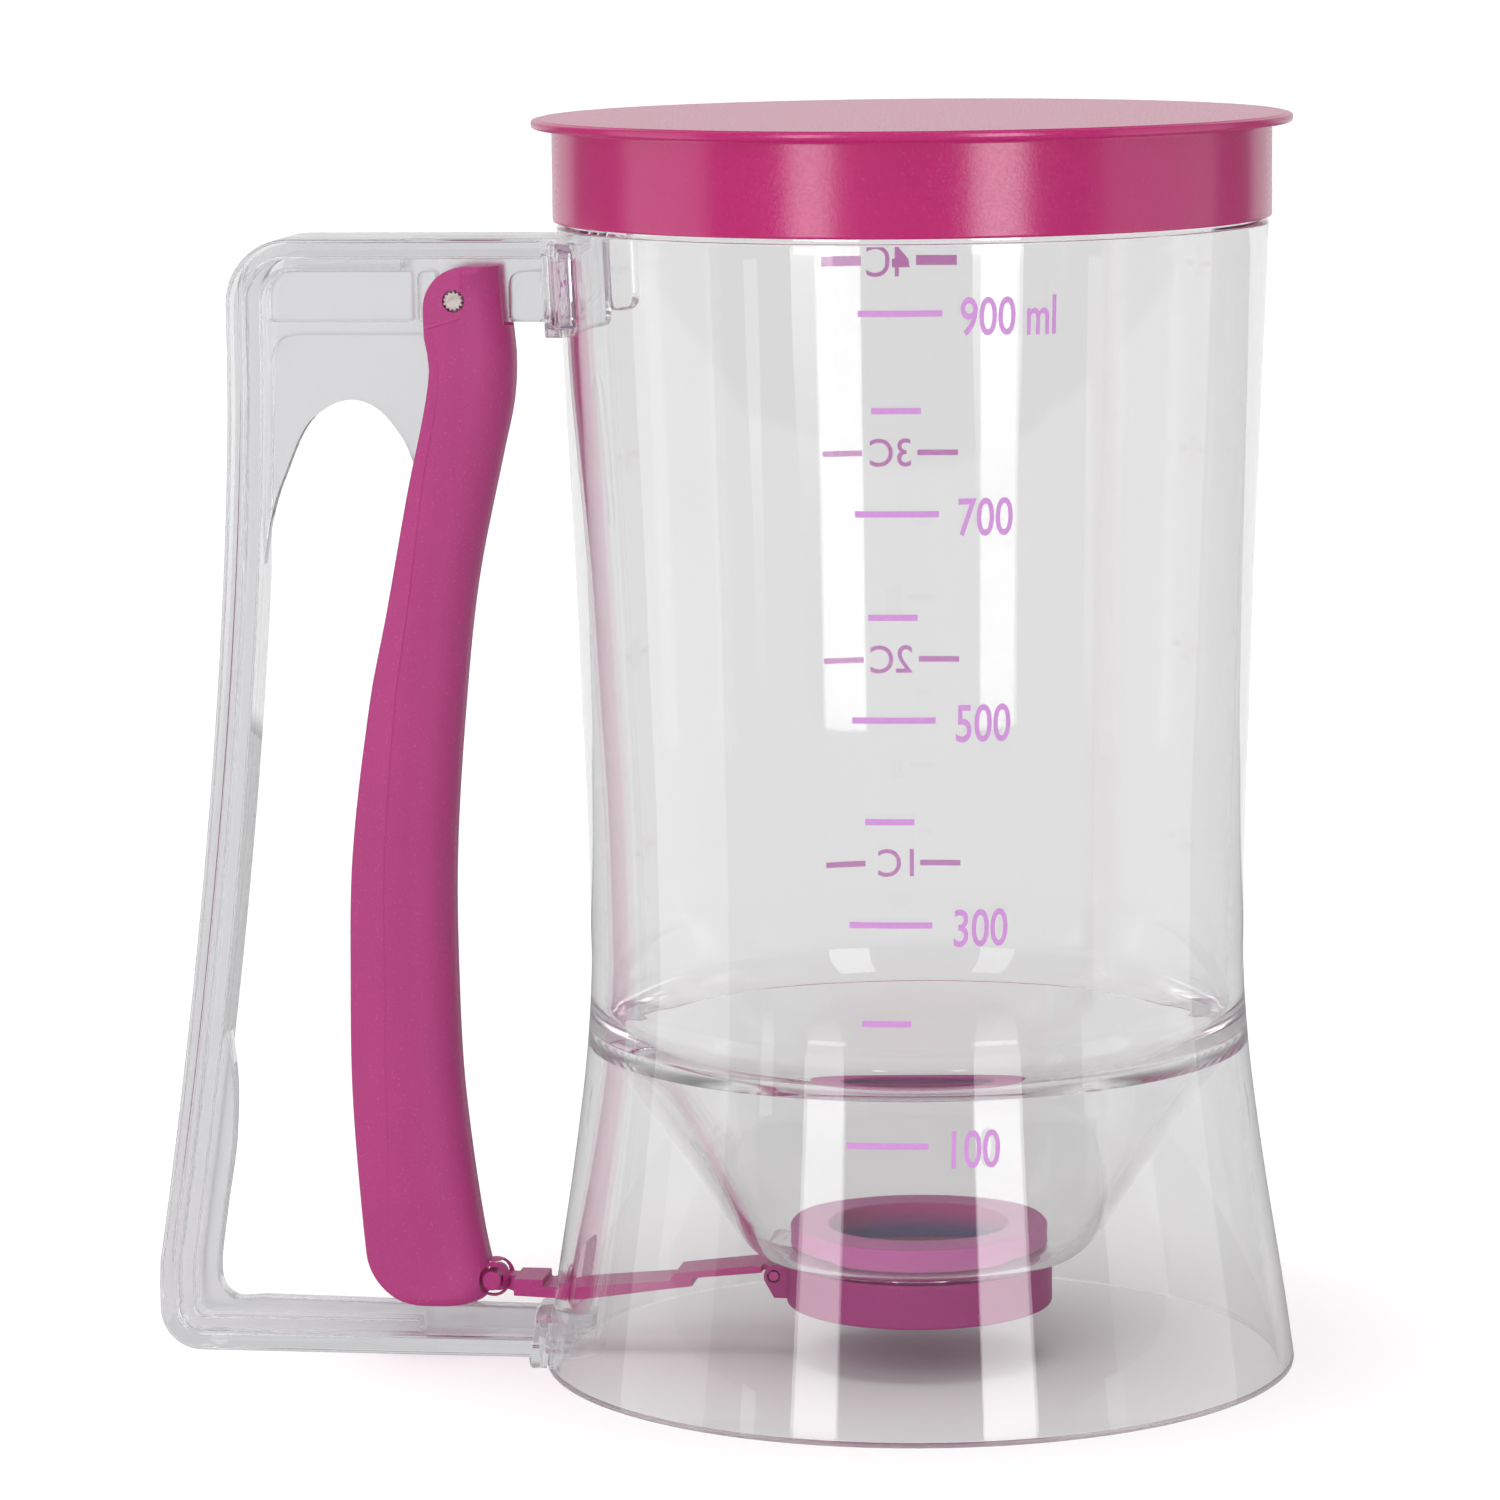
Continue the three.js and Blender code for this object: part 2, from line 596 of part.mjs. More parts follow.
function returnSpring(line) {
  const path = new THREE.CatmullRomCurve3(line, false, 'centripetal');
  const section = new THREE.Shape(Array.from({ length: wireSides }, (_, i) => {
    const angle = (2 * Math.PI * i) / wireSides;
    return new THREE.Vector2(wireRadius * Math.cos(angle), wireRadius * Math.sin(angle));
  }));
  return solid(new THREE.ExtrudeGeometry(section, { steps: line.length - 1, extrudePath: path }));
}

// Least gap between turns, measured on points along the wire
function leastCoilGap(line) {
  const points = new THREE.CatmullRomCurve3(line, false, 'centripetal').getSpacedPoints(12 * line.length);
  const apart = Math.PI * coilRadius;
  const spacing = points[0].distanceTo(points[1]);
  let least = Infinity;
  for (let i = 0; i < points.length; i += 1) {
    for (let j = i + Math.ceil(apart / spacing); j < points.length; j += 1) {
      least = Math.min(least, points[i].distanceTo(points[j]));
    }
  }
  return least - 2 * wireRadius;
}

function slideBar() {
  const point = ([along, up]) => [-lugReach - along * barLength, up * stopHeight];
  const outline = [
    [-crossPinReach, crossPinHeight + crossPinRadius / 2], ...barTopShares.map(point),
    [-lugReach, lugHeight + lugPinRadius], [-lugReach, lugHeight - lugPinRadius],
    ...barBottomShares.map(point), [-crossPinReach, crossPinHeight - crossPinRadius / 2],
  ];
  const bar = plate(outline.reverse(), barWidth);
  const beside = (x0, x1, width) => [-1, 1].map((side) => block(
    x0, x1, Math.min(side * width, side * barWidth) / 2, Math.max(side * width, side * barWidth) / 2,
    0, flangeHeight,
  ));
  const shoulders = [...beside(-barEnd, 0, tongueWidth), ...beside(-postReach, -stopStart, endTongueWidth)];
  const lugPin = crossBar(lugPinRadius, tongueWidth + 2 * (lugGap + lugWall), -lugReach, lugHeight);
  const hub = crossBar(lugHub, tongueWidth, -lugReach, lugHeight);
  const crossPin = crossBar(crossPinRadius, 2 * crossPinHalf, -crossPinReach, crossPinHeight);
  return join(cut(bar, ...shoulders), hub, lugPin, crossPin);
}

function gateCap() {
  const underside = gateTop - gatePlate;
  const inner = gateRadius - gateWall;
  const cap = turned([
    [0, gateTop], [gateRadius - gateEdge, gateTop], [gateRadius, gateTop - gateEdge],
    [gateRadius, gateBottom + gateEdge], [gateRadius - gateEdge, gateBottom], [inner, gateBottom],
    [inner, underside], [0, underside],
  ]);
  const earMiddle = tongueWidth / 2 + lugGap + lugWall / 2;
  const ears = [-1, 1].flatMap((side) => [
    crossBar(lugRadius, lugWall, -lugReach, lugHeight, side * earMiddle),
    block(-lugReach, -inner - gateWall / 2, side * earMiddle - lugWall / 2,
      side * earMiddle + lugWall / 2, gateBottom + lugFoot, lugHeight),
    block(-lugReach, -inner - gateWall / 2, side * earMiddle - lugWall / 2, side * earMiddle + lugWall / 2,
      lugHeight - lugRadius, lugHeight + lugRadius),
  ]);
  const pinHoles = crossBar(
    lugPinRadius + moulding, tongueWidth + 2 * (lugGap + lugWall) + lugGap, -lugReach, lugHeight,
  );
  const keepCap = block(-inner, 0, -barWidth, barWidth, gateBottom, gateTop);
  return join(cut(join(...ears), pinHoles, keepCap), cap);
}

// Materials
function material(color, roughness, extra = {}) {
  return new THREE.MeshStandardMaterial({ color, roughness, metalness: 0, ...extra });
}

const clearPlastic = { transparent: true, opacity: 0.35 };
const steel = { metalness: 1 };

// Geometry of a solid, as a named mesh
function piece(name, body, color, roughness, extra) {
  const { vertProperties, triVerts } = body.getMesh();
  const geometry = new THREE.BufferGeometry();
  geometry.setAttribute('position', new THREE.BufferAttribute(vertProperties, 3));
  geometry.setIndex(new THREE.BufferAttribute(triVerts, 1));
  geometry.computeVertexNormals();
  const mesh = new THREE.Mesh(geometry, material(color, roughness, extra));
  mesh.name = name;
  return mesh;
}

const springPath = springLine();
console.log(`least gap between the spring's turns: ${leastCoilGap(springPath).toFixed(2)} mm`);

const tub = new THREE.Group();
tub.add(
  piece('tub_wall', tubWall(), '#e9ebec', 0.05, clearPlastic),
  piece('funnel_floor', funnelFloor(), '#e9ebec', 0.05, clearPlastic),
  piece('base_skirt', baseSkirt(), '#e9ebec', 0.05, clearPlastic),
);

const handle = new THREE.Group();
handle.add(
  piece('handle_frame', handleFrame(), '#e9ebec', 0.08, clearPlastic),
  piece('trigger', trigger(), '#b04a86', 0.45),
  piece('pivot_pin', pivotPin(), '#c9c4c0', 0.35, steel),
  piece('return_spring', returnSpring(springPath), '#b9bbbd', 0.3, steel),
);

const valve = new THREE.Group();
valve.add(
  piece('slide_bar', slideBar(), '#a8437f', 0.4),
  piece('gate_cap', gateCap(), '#a8437f', 0.4),
);

const dispenser = new THREE.Group();
dispenser.add(tub, handle, valve, piece('lid', lid(), '#b13c80', 0.4));
dispenser.position.x = (postOuter - baseRadius) / 2;

export default dispenser;
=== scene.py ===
"""Pancake batter dispenser: a clear waisted tub with a funnel floor, a clear handle, a sprung
trigger, a sliding gate and a lift-off lid, dressed for a plain studio picture.

Shapes are worked out in millimetres around the tub's axis, with the handle towards -X, and each
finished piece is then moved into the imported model's frame, in metres."""

from math import cos, hypot, pi, radians, sin, sqrt, tan

import bmesh
import bpy
from mathutils import Matrix, Vector


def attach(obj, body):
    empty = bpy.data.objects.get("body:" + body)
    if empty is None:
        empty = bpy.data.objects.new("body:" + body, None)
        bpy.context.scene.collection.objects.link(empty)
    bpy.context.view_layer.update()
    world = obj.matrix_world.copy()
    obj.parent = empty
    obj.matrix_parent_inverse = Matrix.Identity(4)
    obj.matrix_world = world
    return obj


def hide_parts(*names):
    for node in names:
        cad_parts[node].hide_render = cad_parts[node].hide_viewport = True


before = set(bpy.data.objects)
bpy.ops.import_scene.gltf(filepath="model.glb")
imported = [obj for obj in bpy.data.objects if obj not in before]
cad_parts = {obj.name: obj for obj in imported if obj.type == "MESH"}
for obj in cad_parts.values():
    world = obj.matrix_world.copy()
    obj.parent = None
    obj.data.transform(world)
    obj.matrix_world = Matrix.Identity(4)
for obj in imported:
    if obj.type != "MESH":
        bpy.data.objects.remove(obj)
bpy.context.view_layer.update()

# Sizes, in millimetres

MM = 0.001
ROUND, RING_ROUND, SMALL_ROUND = 176, 112, 40  # sides of a turned piece: tub, outlet ring, pin
OVERRUN = 4.0  # how far a cutting shape runs past what it cuts
CUTTER = 4.0  # thickness of a plate that sinks an outline into a face

WALL = 2.2
BASE_RADIUS = 55.0
WAIST_RADIUS, WAIST_HEIGHT = 47.45, 60.0
SHOULDER_RADIUS, SHOULDER_HEIGHT = 51.1, 166.6
NECK_RADIUS, NECK_TOP = 50.0, 180.3
UPPER_FLARE_SHARES = [(0, 0), (0.19, 0.08), (0.36, 0.26), (0.53, 0.42), (0.77, 0.72), (1, 1)]
LOWER_FLARE_SHARES = [(0, 0), (0.11, 0.04), (0.26, 0.14), (0.41, 0.29), (0.55, 0.45), (0.7, 0.64),
                      (0.85, 0.83), (1, 1)]

OUTLET_RADIUS, OUTLET_EDGE, FLOOR_HEIGHT, FLOOR_WALL = 14.2, 0.3, 17.3, 1.6
FLOOR_UNDER = FLOOR_HEIGHT - FLOOR_WALL
# The coloured ring stands on the clear floor, and its sleeve lines the outlet
RING_RADIUS, RING_TOP, SLEEVE, SLEEVE_GAP, RING_LIFT = 18.9, 20.9, 0.9, 0.08, 0.02
# Heights over which the outlet's bore turns darker and bluer towards its foot: painted shade deep in the
# outlet
PAINTED_SHADE_LOW, PAINTED_SHADE_HIGH = 16.5, 20.2
# The funnel's lower face as (radius, height): level round the outlet, then a round turn up to the wall
FUNNEL_UNDER = [(OUTLET_RADIUS, FLOOR_UNDER), (17, FLOOR_UNDER), (21.2, FLOOR_UNDER + 0.05), (23.9, 16.6),
                (26.4, 18.9), (28.7, 22.3), (31.8, 27.1), (38, 36.4), (45.85, 47.25)]
FUNNEL_FILLET = 4.4  # reach of the fillet between the funnel and the wall
FULL_WALL_SHARE = 0.8  # the funnel has its full wall where it climbs this share of its length

WINDOW_HALF, WINDOW_LOW, WINDOW_HIGH = 6.5, 6.9, 16.2
RAIL_WIDTH, RAIL_DEPTH, RAIL_LIFT, RAIL_GAP = 8.4, 2.0, 1.8, 0.3

COLLAR_RADIUS, COLLAR_WALL, COLLAR_BOTTOM = 51.55, 1.2, 167.3
DISC_RADIUS, DISC_BOTTOM, DISC_TOP = 54.5, 180.6, 182.0

HANDLE_WIDTH, RIM, WEB = 16.0, 3.0, 3.2
HANDLE_TOP = 164.8
HANDLE_START = -(WAIST_RADIUS - WALL)  # the handle starts inside the tub and is then cut back
HANDLE_GAP, PIN_GAP = 0.16, 0.12
UPPER_CORNER, LOWER_CORNER = 9.5, 6.2
POST_LEAN, POST_LEAN_POWER, POST_OUT = 13.3, 1.6, 33.4
FOOT_WEB = 6.0
PAD_HALF, PAD_THICKNESS, UPPER_PAD, LOWER_PAD, PAD_LIFT = 14.0, 2.6, 14.0, 6.8, 0.05
PANEL_LOW, PANEL_HIGH, PANEL_RECESS = 152.3, 159.8, 0.8
STEP_INSET, STEP_HALF, STEP_END = 4.7, 5.0, 8.0
SUNK_TOP, SUNK_TURN, SUNK_BOTTOM, SUNK_END = 150.6, 140.0, 90.0, -60.0
SUNK_INSET, SUNK_DEPTH = 5.5, 0.5

PIVOT_OUT, PIVOT_HEIGHT = 65.9, 155.7
POST_REACH = PIVOT_OUT + POST_OUT
# The upper bar's shallow panels, from the post to the tub
PANEL_SPANS = [(-POST_REACH + 5.1, -PIVOT_OUT - 7.0), (-PIVOT_OUT - 6.2, -PIVOT_OUT - 3.4),
               (-PIVOT_OUT + 7.2, -SHOULDER_RADIUS - PAD_THICKNESS)]

TRIGGER_TOP, TRIGGER_BOTTOM = 160.6, 7.0
TRIGGER_WIDTH, TRIGGER_WALL, TRIGGER_BOW, TRIGGER_LIP = 14.6, 2.2, 17.2, 0.7
TRIGGER_END = 8.0  # height of each end that has more sections
HEAD_CORNER, FOOT_CORNER, HEEL_CORNER = 6.0, 8.0, 4.0
HEAD_SOFT, FOOT_SOFT = 1.3, 1.6
BACK_ROUND_SHARE = 0.85  # of half the width, taken by the rounded back
HEAD_RADIUS, HEAD_DEPTH, BACK_TOP = 4.9, 0.6, PIVOT_HEIGHT - 3.7

# The web's free edge. Across: 0 at the pivot and 1 at the post's outer face. Up: a share of the
# handle's height
LOWER_EDGE_SHARES = [(0.98, 0.041), (1.107, 0.041), (1.169, 0.062), (1.137, 0.12), (1.09, 0.18),
                     (1.077, 0.24), (1.107, 0.3), (1.125, 0.33)]
ARCH_EDGE_SHARES = [(1.059, 0.46), (0.991, 0.58), (0.943, 0.64), (0.863, 0.745), (0.783, 0.794),
                    (0.694, 0.832), (0.584, 0.85), (0.471, 0.855), (0.361, 0.845), (0.263, 0.82),
                    (0.212, 0.797)]
TONGUE_EDGE_SHARES = [(0.153, 0.785), (0.078, 0.79), (0.02, 0.82), (-0.07, 0.885), (-0.105, 0.918)]
DARK_LINE_LOW_SHARE, DARK_LINE_HIGH_SHARE = 0.44, 0.87  # of the handle's height, where that edge is painted dark as a shade line

# The trigger's outlines: height from its bottom at 0, then distance past the pivot as a share of the bow
OPEN_EDGE_SHARES = [(0, 0.86), (0.1, 0.94), (0.21, 1), (0.31, 1), (0.44, 0.96), (0.59, 0.78), (0.67, 0.63),
                    (0.79, 0.42), (0.865, 0.27), (0.907, 0.22), (0.934, 0.26), (1, 0.26)]
BACK_EDGE_SHARES = [(0, -0.19), (0.075, -0.05), (0.2, 0.09), (0.29, 0.13), (0.43, 0.13), (0.58, 0.03),
                    (0.7, -0.1), (0.82, -0.33), (0.87, -0.43), (0.91, -0.455), (0.944, -0.43), (1, -0.37)]
# Width of the flat strip beside the open edge, as a share of the trigger's width
CREASE_SHARES = [(0, 0.2), (0.1, 0.3), (0.2, 0.37), (0.45, 0.35), (0.7, 0.22), (0.85, 0.14), (1, 0.14)]
# How far that strip slopes in, and how deep the groove along it is, both in millimetres
CREASE_DIP = [(0, 0), (0.1, 0.05), (0.3, 0.45), (0.9, 0.4), (1, 0.2)]
GROOVE_DEPTH = [(0, 0), (0.06, 0.02), (0.12, 0.06), (0.86, 0.08), (0.9, 0.02), (1, 0)]
GROOVE_WIDTH, GROOVE_LEAST = 0.3, 0.02
# The recess on the trigger's head, round the pivot, as shares of the head's radius
HEAD_RECESS_SHARES = [(-0.3, 1.3), (-0.25, 0.18), (-0.56, 0), (-0.58, -0.41), (-0.05, -0.6), (1.3, -1),
                      (1.3, 1.3)]

PIN_RADIUS, PIN_NOTCHES, NOTCH_DEPTH = 1.5, 13, 0.26
WIRE_RADIUS, COIL_RADIUS, COIL_TURNS, COIL_PITCH, COIL_GAP = 0.3, 2.4, 2.15, 1.1, 0.35
UPPER_LEG, LOWER_LEG = 3.6, 10.0

BAR_WIDTH, BAR_STOP, BAR_NOSE, BAR_TAIL = 8.0, 10.9, 4.0, 3.2
CROSS_REACH, CROSS_HEIGHT, CROSS_RADIUS, CROSS_HALF = 63.3, 10.4, 1.45, 3.5
EYE_WALL, EYE_SIDE, SLOT_GAP, SLOT_PLAY = 1.45, 0.8, 0.3, 0.35
GATE_RADIUS, GATE_TOP, GATE_BOTTOM, GATE_WALL, GATE_ROOF = 19.5, 15.4, 8.3, 1.6, 2.0
LUG_REACH, LUG_HEIGHT, LUG_PIN, LUG_HUB = 21.1, 12.2, 0.75, 1.2
LUG_EAR, EAR_WIDTH, EAR_GAP, EAR_BORE_GAP = 1.5, 1.4, 0.3, 0.25
# Outline of the bar. Along: 0 at the gate's lug and 1 at the cross pin. Up: a share of the stop's height
BAR_TOP_SHARES = [(0.919, 1), (0.815, 1), (0.815, 0.89), (0.367, 1.028), (0.349, 1.138), (0.078, 1.261),
                  (0.033, 1.25)]
BAR_BOTTOM_SHARES = [(0.033, 1.174), (0.283, 1.076), (0.286, 0.963), (0.685, 0.752), (0.8, 0.752),
                     (0.919, 0.77)]

AXIS_X = ((POST_REACH + POST_LEAN) - BASE_RADIUS) / 2  # the tub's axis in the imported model's frame


# Curves

def steps(start, end, count):
    return [start + (end - start) * i / count for i in range(count + 1)]


def smooth_share(shares, at):
    """Value of a table of shares, smooth between its rows."""
    last = len(shares) - 1
    row = 0
    while row < last - 1 and at > shares[row + 1][0]:
        row += 1

    def slope(i):
        (x0, y0), (x1, y1) = shares[max(i - 1, 0)], shares[min(i + 1, last)]
        return (y1 - y0) / (x1 - x0)

    (x0, y0), (x1, y1) = shares[row], shares[row + 1]
    span = x1 - x0
    t = (at - x0) / span
    bend = slope(row) * (t - 2 * t * t + t ** 3) + slope(row + 1) * (t ** 3 - t * t)
    return y0 + (y1 - y0) * t * t * (3 - 2 * t) + span * bend


def body_radius(height):
    """Radius of the tub's outer face."""
    if height >= WAIST_HEIGHT:
        share = min((height - WAIST_HEIGHT) / (SHOULDER_HEIGHT - WAIST_HEIGHT), 1)
        return WAIST_RADIUS + (SHOULDER_RADIUS - WAIST_RADIUS) * smooth_share(UPPER_FLARE_SHARES, share)
    share = min((WAIST_HEIGHT - height) / WAIST_HEIGHT, 1)
    return WAIST_RADIUS + (BASE_RADIUS - WAIST_RADIUS) * smooth_share(LOWER_FLARE_SHARES, share)


def arc(x, z, radius, start, end, count):
    return [(x + radius * cos(radians(a)), z + radius * sin(radians(a))) for a in steps(start, end, count)]


def rounded(corners, count=5):
    """Outline through corners given as (x, z, radius). A corner of radius 0 stays sharp."""
    line = []
    for i, (x, z, radius) in enumerate(corners):
        if radius == 0:
            line.append((x, z))
            continue
        here = Vector((x, z))
        before = Vector(corners[i - 1][:2]) - here
        after = Vector(corners[(i + 1) % len(corners)][:2]) - here
        half = before.angle(after) / 2
        reach = min(radius / tan(half), 0.49 * before.length, 0.49 * after.length)
        first, last = here + before.normalized() * reach, here + after.normalized() * reach
        for t in steps(0, 1, count):
            point = first.lerp(here, t).lerp(here.lerp(last, t), t)
            line.append((point.x, point.y))
    return line


def smooth_line(points, per_span):
    """Catmull-Rom curve through points of any dimension."""
    last = len(points) - 1
    line = []
    for i in range(last):
        p0, p1, p2, p3 = (Vector(points[min(max(k, 0), last)]) for k in (i - 1, i, i + 1, i + 2))
        for t in steps(0, 1, per_span)[:-1]:
            line.append(0.5 * (2 * p1 + (p2 - p0) * t + (2 * p0 - 5 * p1 + 4 * p2 - p3) * t * t
                               + (3 * p1 - p0 - 3 * p2 + p3) * t ** 3))
    return line + [Vector(points[-1])]


def inset_loop(loop, depth):
    """A closed outline moved in by a depth, with mitred corners."""
    points = [Vector(p) for p in loop]
    area = sum(a.x * b.y - b.x * a.y for a, b in zip(points, points[1:] + points[:1]))
    side = 1 if area > 0 else -1
    moved = []
    for i, here in enumerate(points):
        before = (here - points[i - 1]).normalized()
        after = (points[(i + 1) % len(points)] - here).normalized()
        normal = Vector((-(before + after).y, (before + after).x)).normalized() * side
        stretch = 1 / max(normal.dot(Vector((-after.y, after.x)) * side), 0.5)
        moved.append(here + normal * depth * stretch)
    return [(p.x, p.y) for p in moved]


# Solids

def placed(name, data):
    """An object in the scene that holds a mesh, a lamp or the like."""
    thing = bpy.data.objects.new(name, data)
    bpy.context.scene.collection.objects.link(thing)
    return thing


def body(points, faces):
    """A mesh object in millimetres, with its faces pointing out."""
    mesh = bpy.data.meshes.new("body")
    mesh.from_pydata([tuple(p) for p in points], [], faces)
    form = bmesh.new()
    form.from_mesh(mesh)
    bmesh.ops.remove_doubles(form, verts=form.verts, dist=1e-4)
    bmesh.ops.recalc_face_normals(form, faces=form.faces)
    form.to_mesh(mesh)
    form.free()
    return placed("body", mesh)


def ring_faces(rows, count, closed):
    faces = []
    for r in range(rows if closed else rows - 1):
        for i in range(count):
            j, below, above = (i + 1) % count, r * count, ((r + 1) % rows) * count
            faces.append((below + i, below + j, above + j, above + i))
    return faces


def turned(profile, sides=ROUND, hollow=True):
    """Turned round Z from (radius, height) points: a ring's section, or a line that starts and
    ends on the axis."""
    line = profile if hollow else profile[1:-1]
    turns = [(cos(a), sin(a)) for a in steps(0, 2 * pi, sides)[:-1]]
    points = [(radius * c, radius * s, height) for radius, height in line for c, s in turns]
    faces = ring_faces(len(line), sides, hollow)
    if not hollow:
        points += [(0, 0, profile[0][1]), (0, 0, profile[-1][1])]
        first, last, end = len(points) - 2, len(points) - 1, (len(line) - 1) * sides
        faces += [(first, (i + 1) % sides, i) for i in range(sides)]
        faces += [(last, end + i, end + (i + 1) % sides) for i in range(sides)]
    return body(points, faces)


def lofted(sections):
    """Through closed sections of the same number of 3-D points, with flat ends."""
    count = len(sections[0])
    points = [p for section in sections for p in section]
    faces = ring_faces(len(sections), count, False)
    faces += [tuple(range(count)), tuple(range(len(points) - count, len(points)))]
    return body(points, faces)


def plate(outline, thickness, middle=0.0, edge=0.0):
    """Upright plate: an outline in X and Z, as thick as given along Y, with its edges rounded."""
    levels = [(0, thickness / 2)] if edge == 0 else [
        (edge * (1 - cos(radians(a))), thickness / 2 - edge * (1 - sin(radians(a))))
        for a in (0, 30, 60, 90)]
    sections = [(depth, y) for depth, y in reversed(levels)] + [(depth, -y) for depth, y in levels]
    loops = {depth: inset_loop(outline, depth) if depth else outline for depth, _ in levels}
    return lofted([[(x, middle + y, z) for x, z in loops[depth]] for depth, y in sections])


def sinkers(outline, face, depth, edge):
    """Two plates that sink an outline to a depth into faces on both sides of the middle plane."""
    return [plate(outline, CUTTER, side * (face - depth + CUTTER / 2), edge) for side in (-1, 1)]


def cross_bar(radius, length, x, z, edge=0.0):
    """Round bar across the middle plane."""
    turns = steps(0, 2 * pi, SMALL_ROUND)[:-1]
    return plate([(x + radius * cos(a), z + radius * sin(a)) for a in turns], length, 0, edge)


def block(x0, x1, y0, y1, z0, z1):
    return plate([(x0, z0), (x1, z0), (x1, z1), (x0, z1)], y1 - y0, (y0 + y1) / 2)


def side_plate(y0, y1, z0, z1, corner):
    """Plate on the handle's side of the tub: an outline in Y and Z with round corners, run along X."""
    outline = rounded([(y0, z0, corner), (y1, z0, corner), (y1, z1, corner), (y0, z1, corner)])
    return lofted([[(x, y, z) for y, z in outline] for x in (-64, -1)])


def tub_shell(z0, z1, near, far, edge):
    """Ring that follows the tub's outer face between two heights, from one depth to another."""
    corners = [(near, z0), (far, z0), (far, z1), (near, z1)]
    outline = rounded([(depth, z, 0 if depth == near else edge) for depth, z in corners], 3)
    filled = []
    for (d0, h0), (d1, h1) in zip(outline, outline[1:] + outline[:1]):
        pieces = 10 if abs(h1 - h0) > 2 else 1
        filled += [(d0 + (d1 - d0) * t, h0 + (h1 - h0) * t) for t in steps(0, 1, pieces)[:-1]]
    return turned([(body_radius(h) + d, h) for d, h in filled])


def carve(thing, tools, how="DIFFERENCE"):
    """Joins, cuts or crops a body with others, which are used up."""
    for tool in tools:
        modifier = thing.modifiers.new("carve", "BOOLEAN")
        modifier.operation, modifier.solver, modifier.object = how, "MANIFOLD", tool
    settled = bpy.data.meshes.new_from_object(thing.evaluated_get(bpy.context.evaluated_depsgraph_get()))
    thing.modifiers.clear()
    thing.data = settled
    for tool in tools:
        bpy.data.objects.remove(tool)
    return thing


def wire(line, radius, sides=14):
    """Round wire along a smooth line, with domed ends."""
    points = [Vector(p) for p in line]
    last = len(points) - 1
    side = Vector((0, 1, 0))
    sections = []
    for i, here in enumerate(points):
        along = (points[min(i + 1, last)] - points[max(i - 1, 0)]).normalized()
        side = (side - along * side.dot(along)).normalized()
        sections.append((here, along, side.copy(), along.cross(side)))
    domes = []
    for end, sign in ((0, -1), (-1, 1)):
        here, along, a, b = sections[end]
        domes.append([(here + along * sign * radius * sin(t), a, b, radius * cos(t))
                      for t in map(radians, (30, 60, 84))])
    rows = domes[0][::-1] + [(here, a, b, radius) for here, _, a, b in sections] + domes[1]
    turns = steps(0, 2 * pi, sides)[:-1]
    return lofted([[here + (a * cos(t) + b * sin(t)) * size for t in turns] for here, a, b, size in rows])


def finished(thing, name, material, rides, replaces=(), sharp=32):
    """Names a body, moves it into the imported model's frame and hands it to its CAD body."""
    mesh = thing.data
    mesh.transform(Matrix.Scale(MM, 4) @ Matrix.Translation((AXIS_X, 0, 0)))
    mesh.shade_smooth()
    mesh.set_sharp_from_angle(angle=radians(sharp))
    mesh.materials.clear()
    mesh.materials.append(material)
    thing.name = mesh.name = name
    even = thing.modifiers.new("even_shine", "WEIGHTED_NORMAL")  # keeps flat faces flat beside round edges
    even.keep_sharp, even.weight = True, 100
    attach(thing, rides)
    if replaces:
        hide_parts(*replaces)
    return thing


# Finishes

def linear(code):
    """Linear colour from an sRGB hex value."""
    parts = [int(code[i:i + 2], 16) / 255 for i in (1, 3, 5)]
    return tuple(c / 12.92 if c <= 0.04045 else ((c + 0.055) / 1.055) ** 2.4 for c in parts) + (1.0,)


def feed(node, links):
    """Links inputs to the sockets given, or to the first output of a node given."""
    for socket, source in dict(links).items():
        output = source.outputs[0] if isinstance(source, bpy.types.Node) else source
        node.id_data.links.new(output, node.inputs[socket])


def bare_tree(owner):
    owner.use_nodes = True
    owner.node_tree.nodes.clear()
    return owner.node_tree


def add(tree, kind, links=(), **settings):
    """Adds a shader node. A setting names one of its own values, or an input with spaces as
    underscores or by its number after an i, as for a mix's two colours, 6 and 7."""
    new = tree.nodes.new("ShaderNode" + kind)
    for key, value in settings.items():
        if hasattr(new, key):
            setattr(new, key, value)
            continue
        numbered = key[0] == "i" and key[1:].isdigit()
        new.inputs[int(key[1:]) if numbered else key.replace("_", " ")].default_value = value
    feed(new, links)
    return new


def material(name, **look):
    """A material with one surface shader, whose uniform values are set on its own sockets."""
    made = bpy.data.materials.new(name)
    tree = bare_tree(made)
    shader = add(tree, "BsdfPrincipled", **look)
    add(tree, "OutputMaterial", {"Surface": shader})
    return made, tree, shader


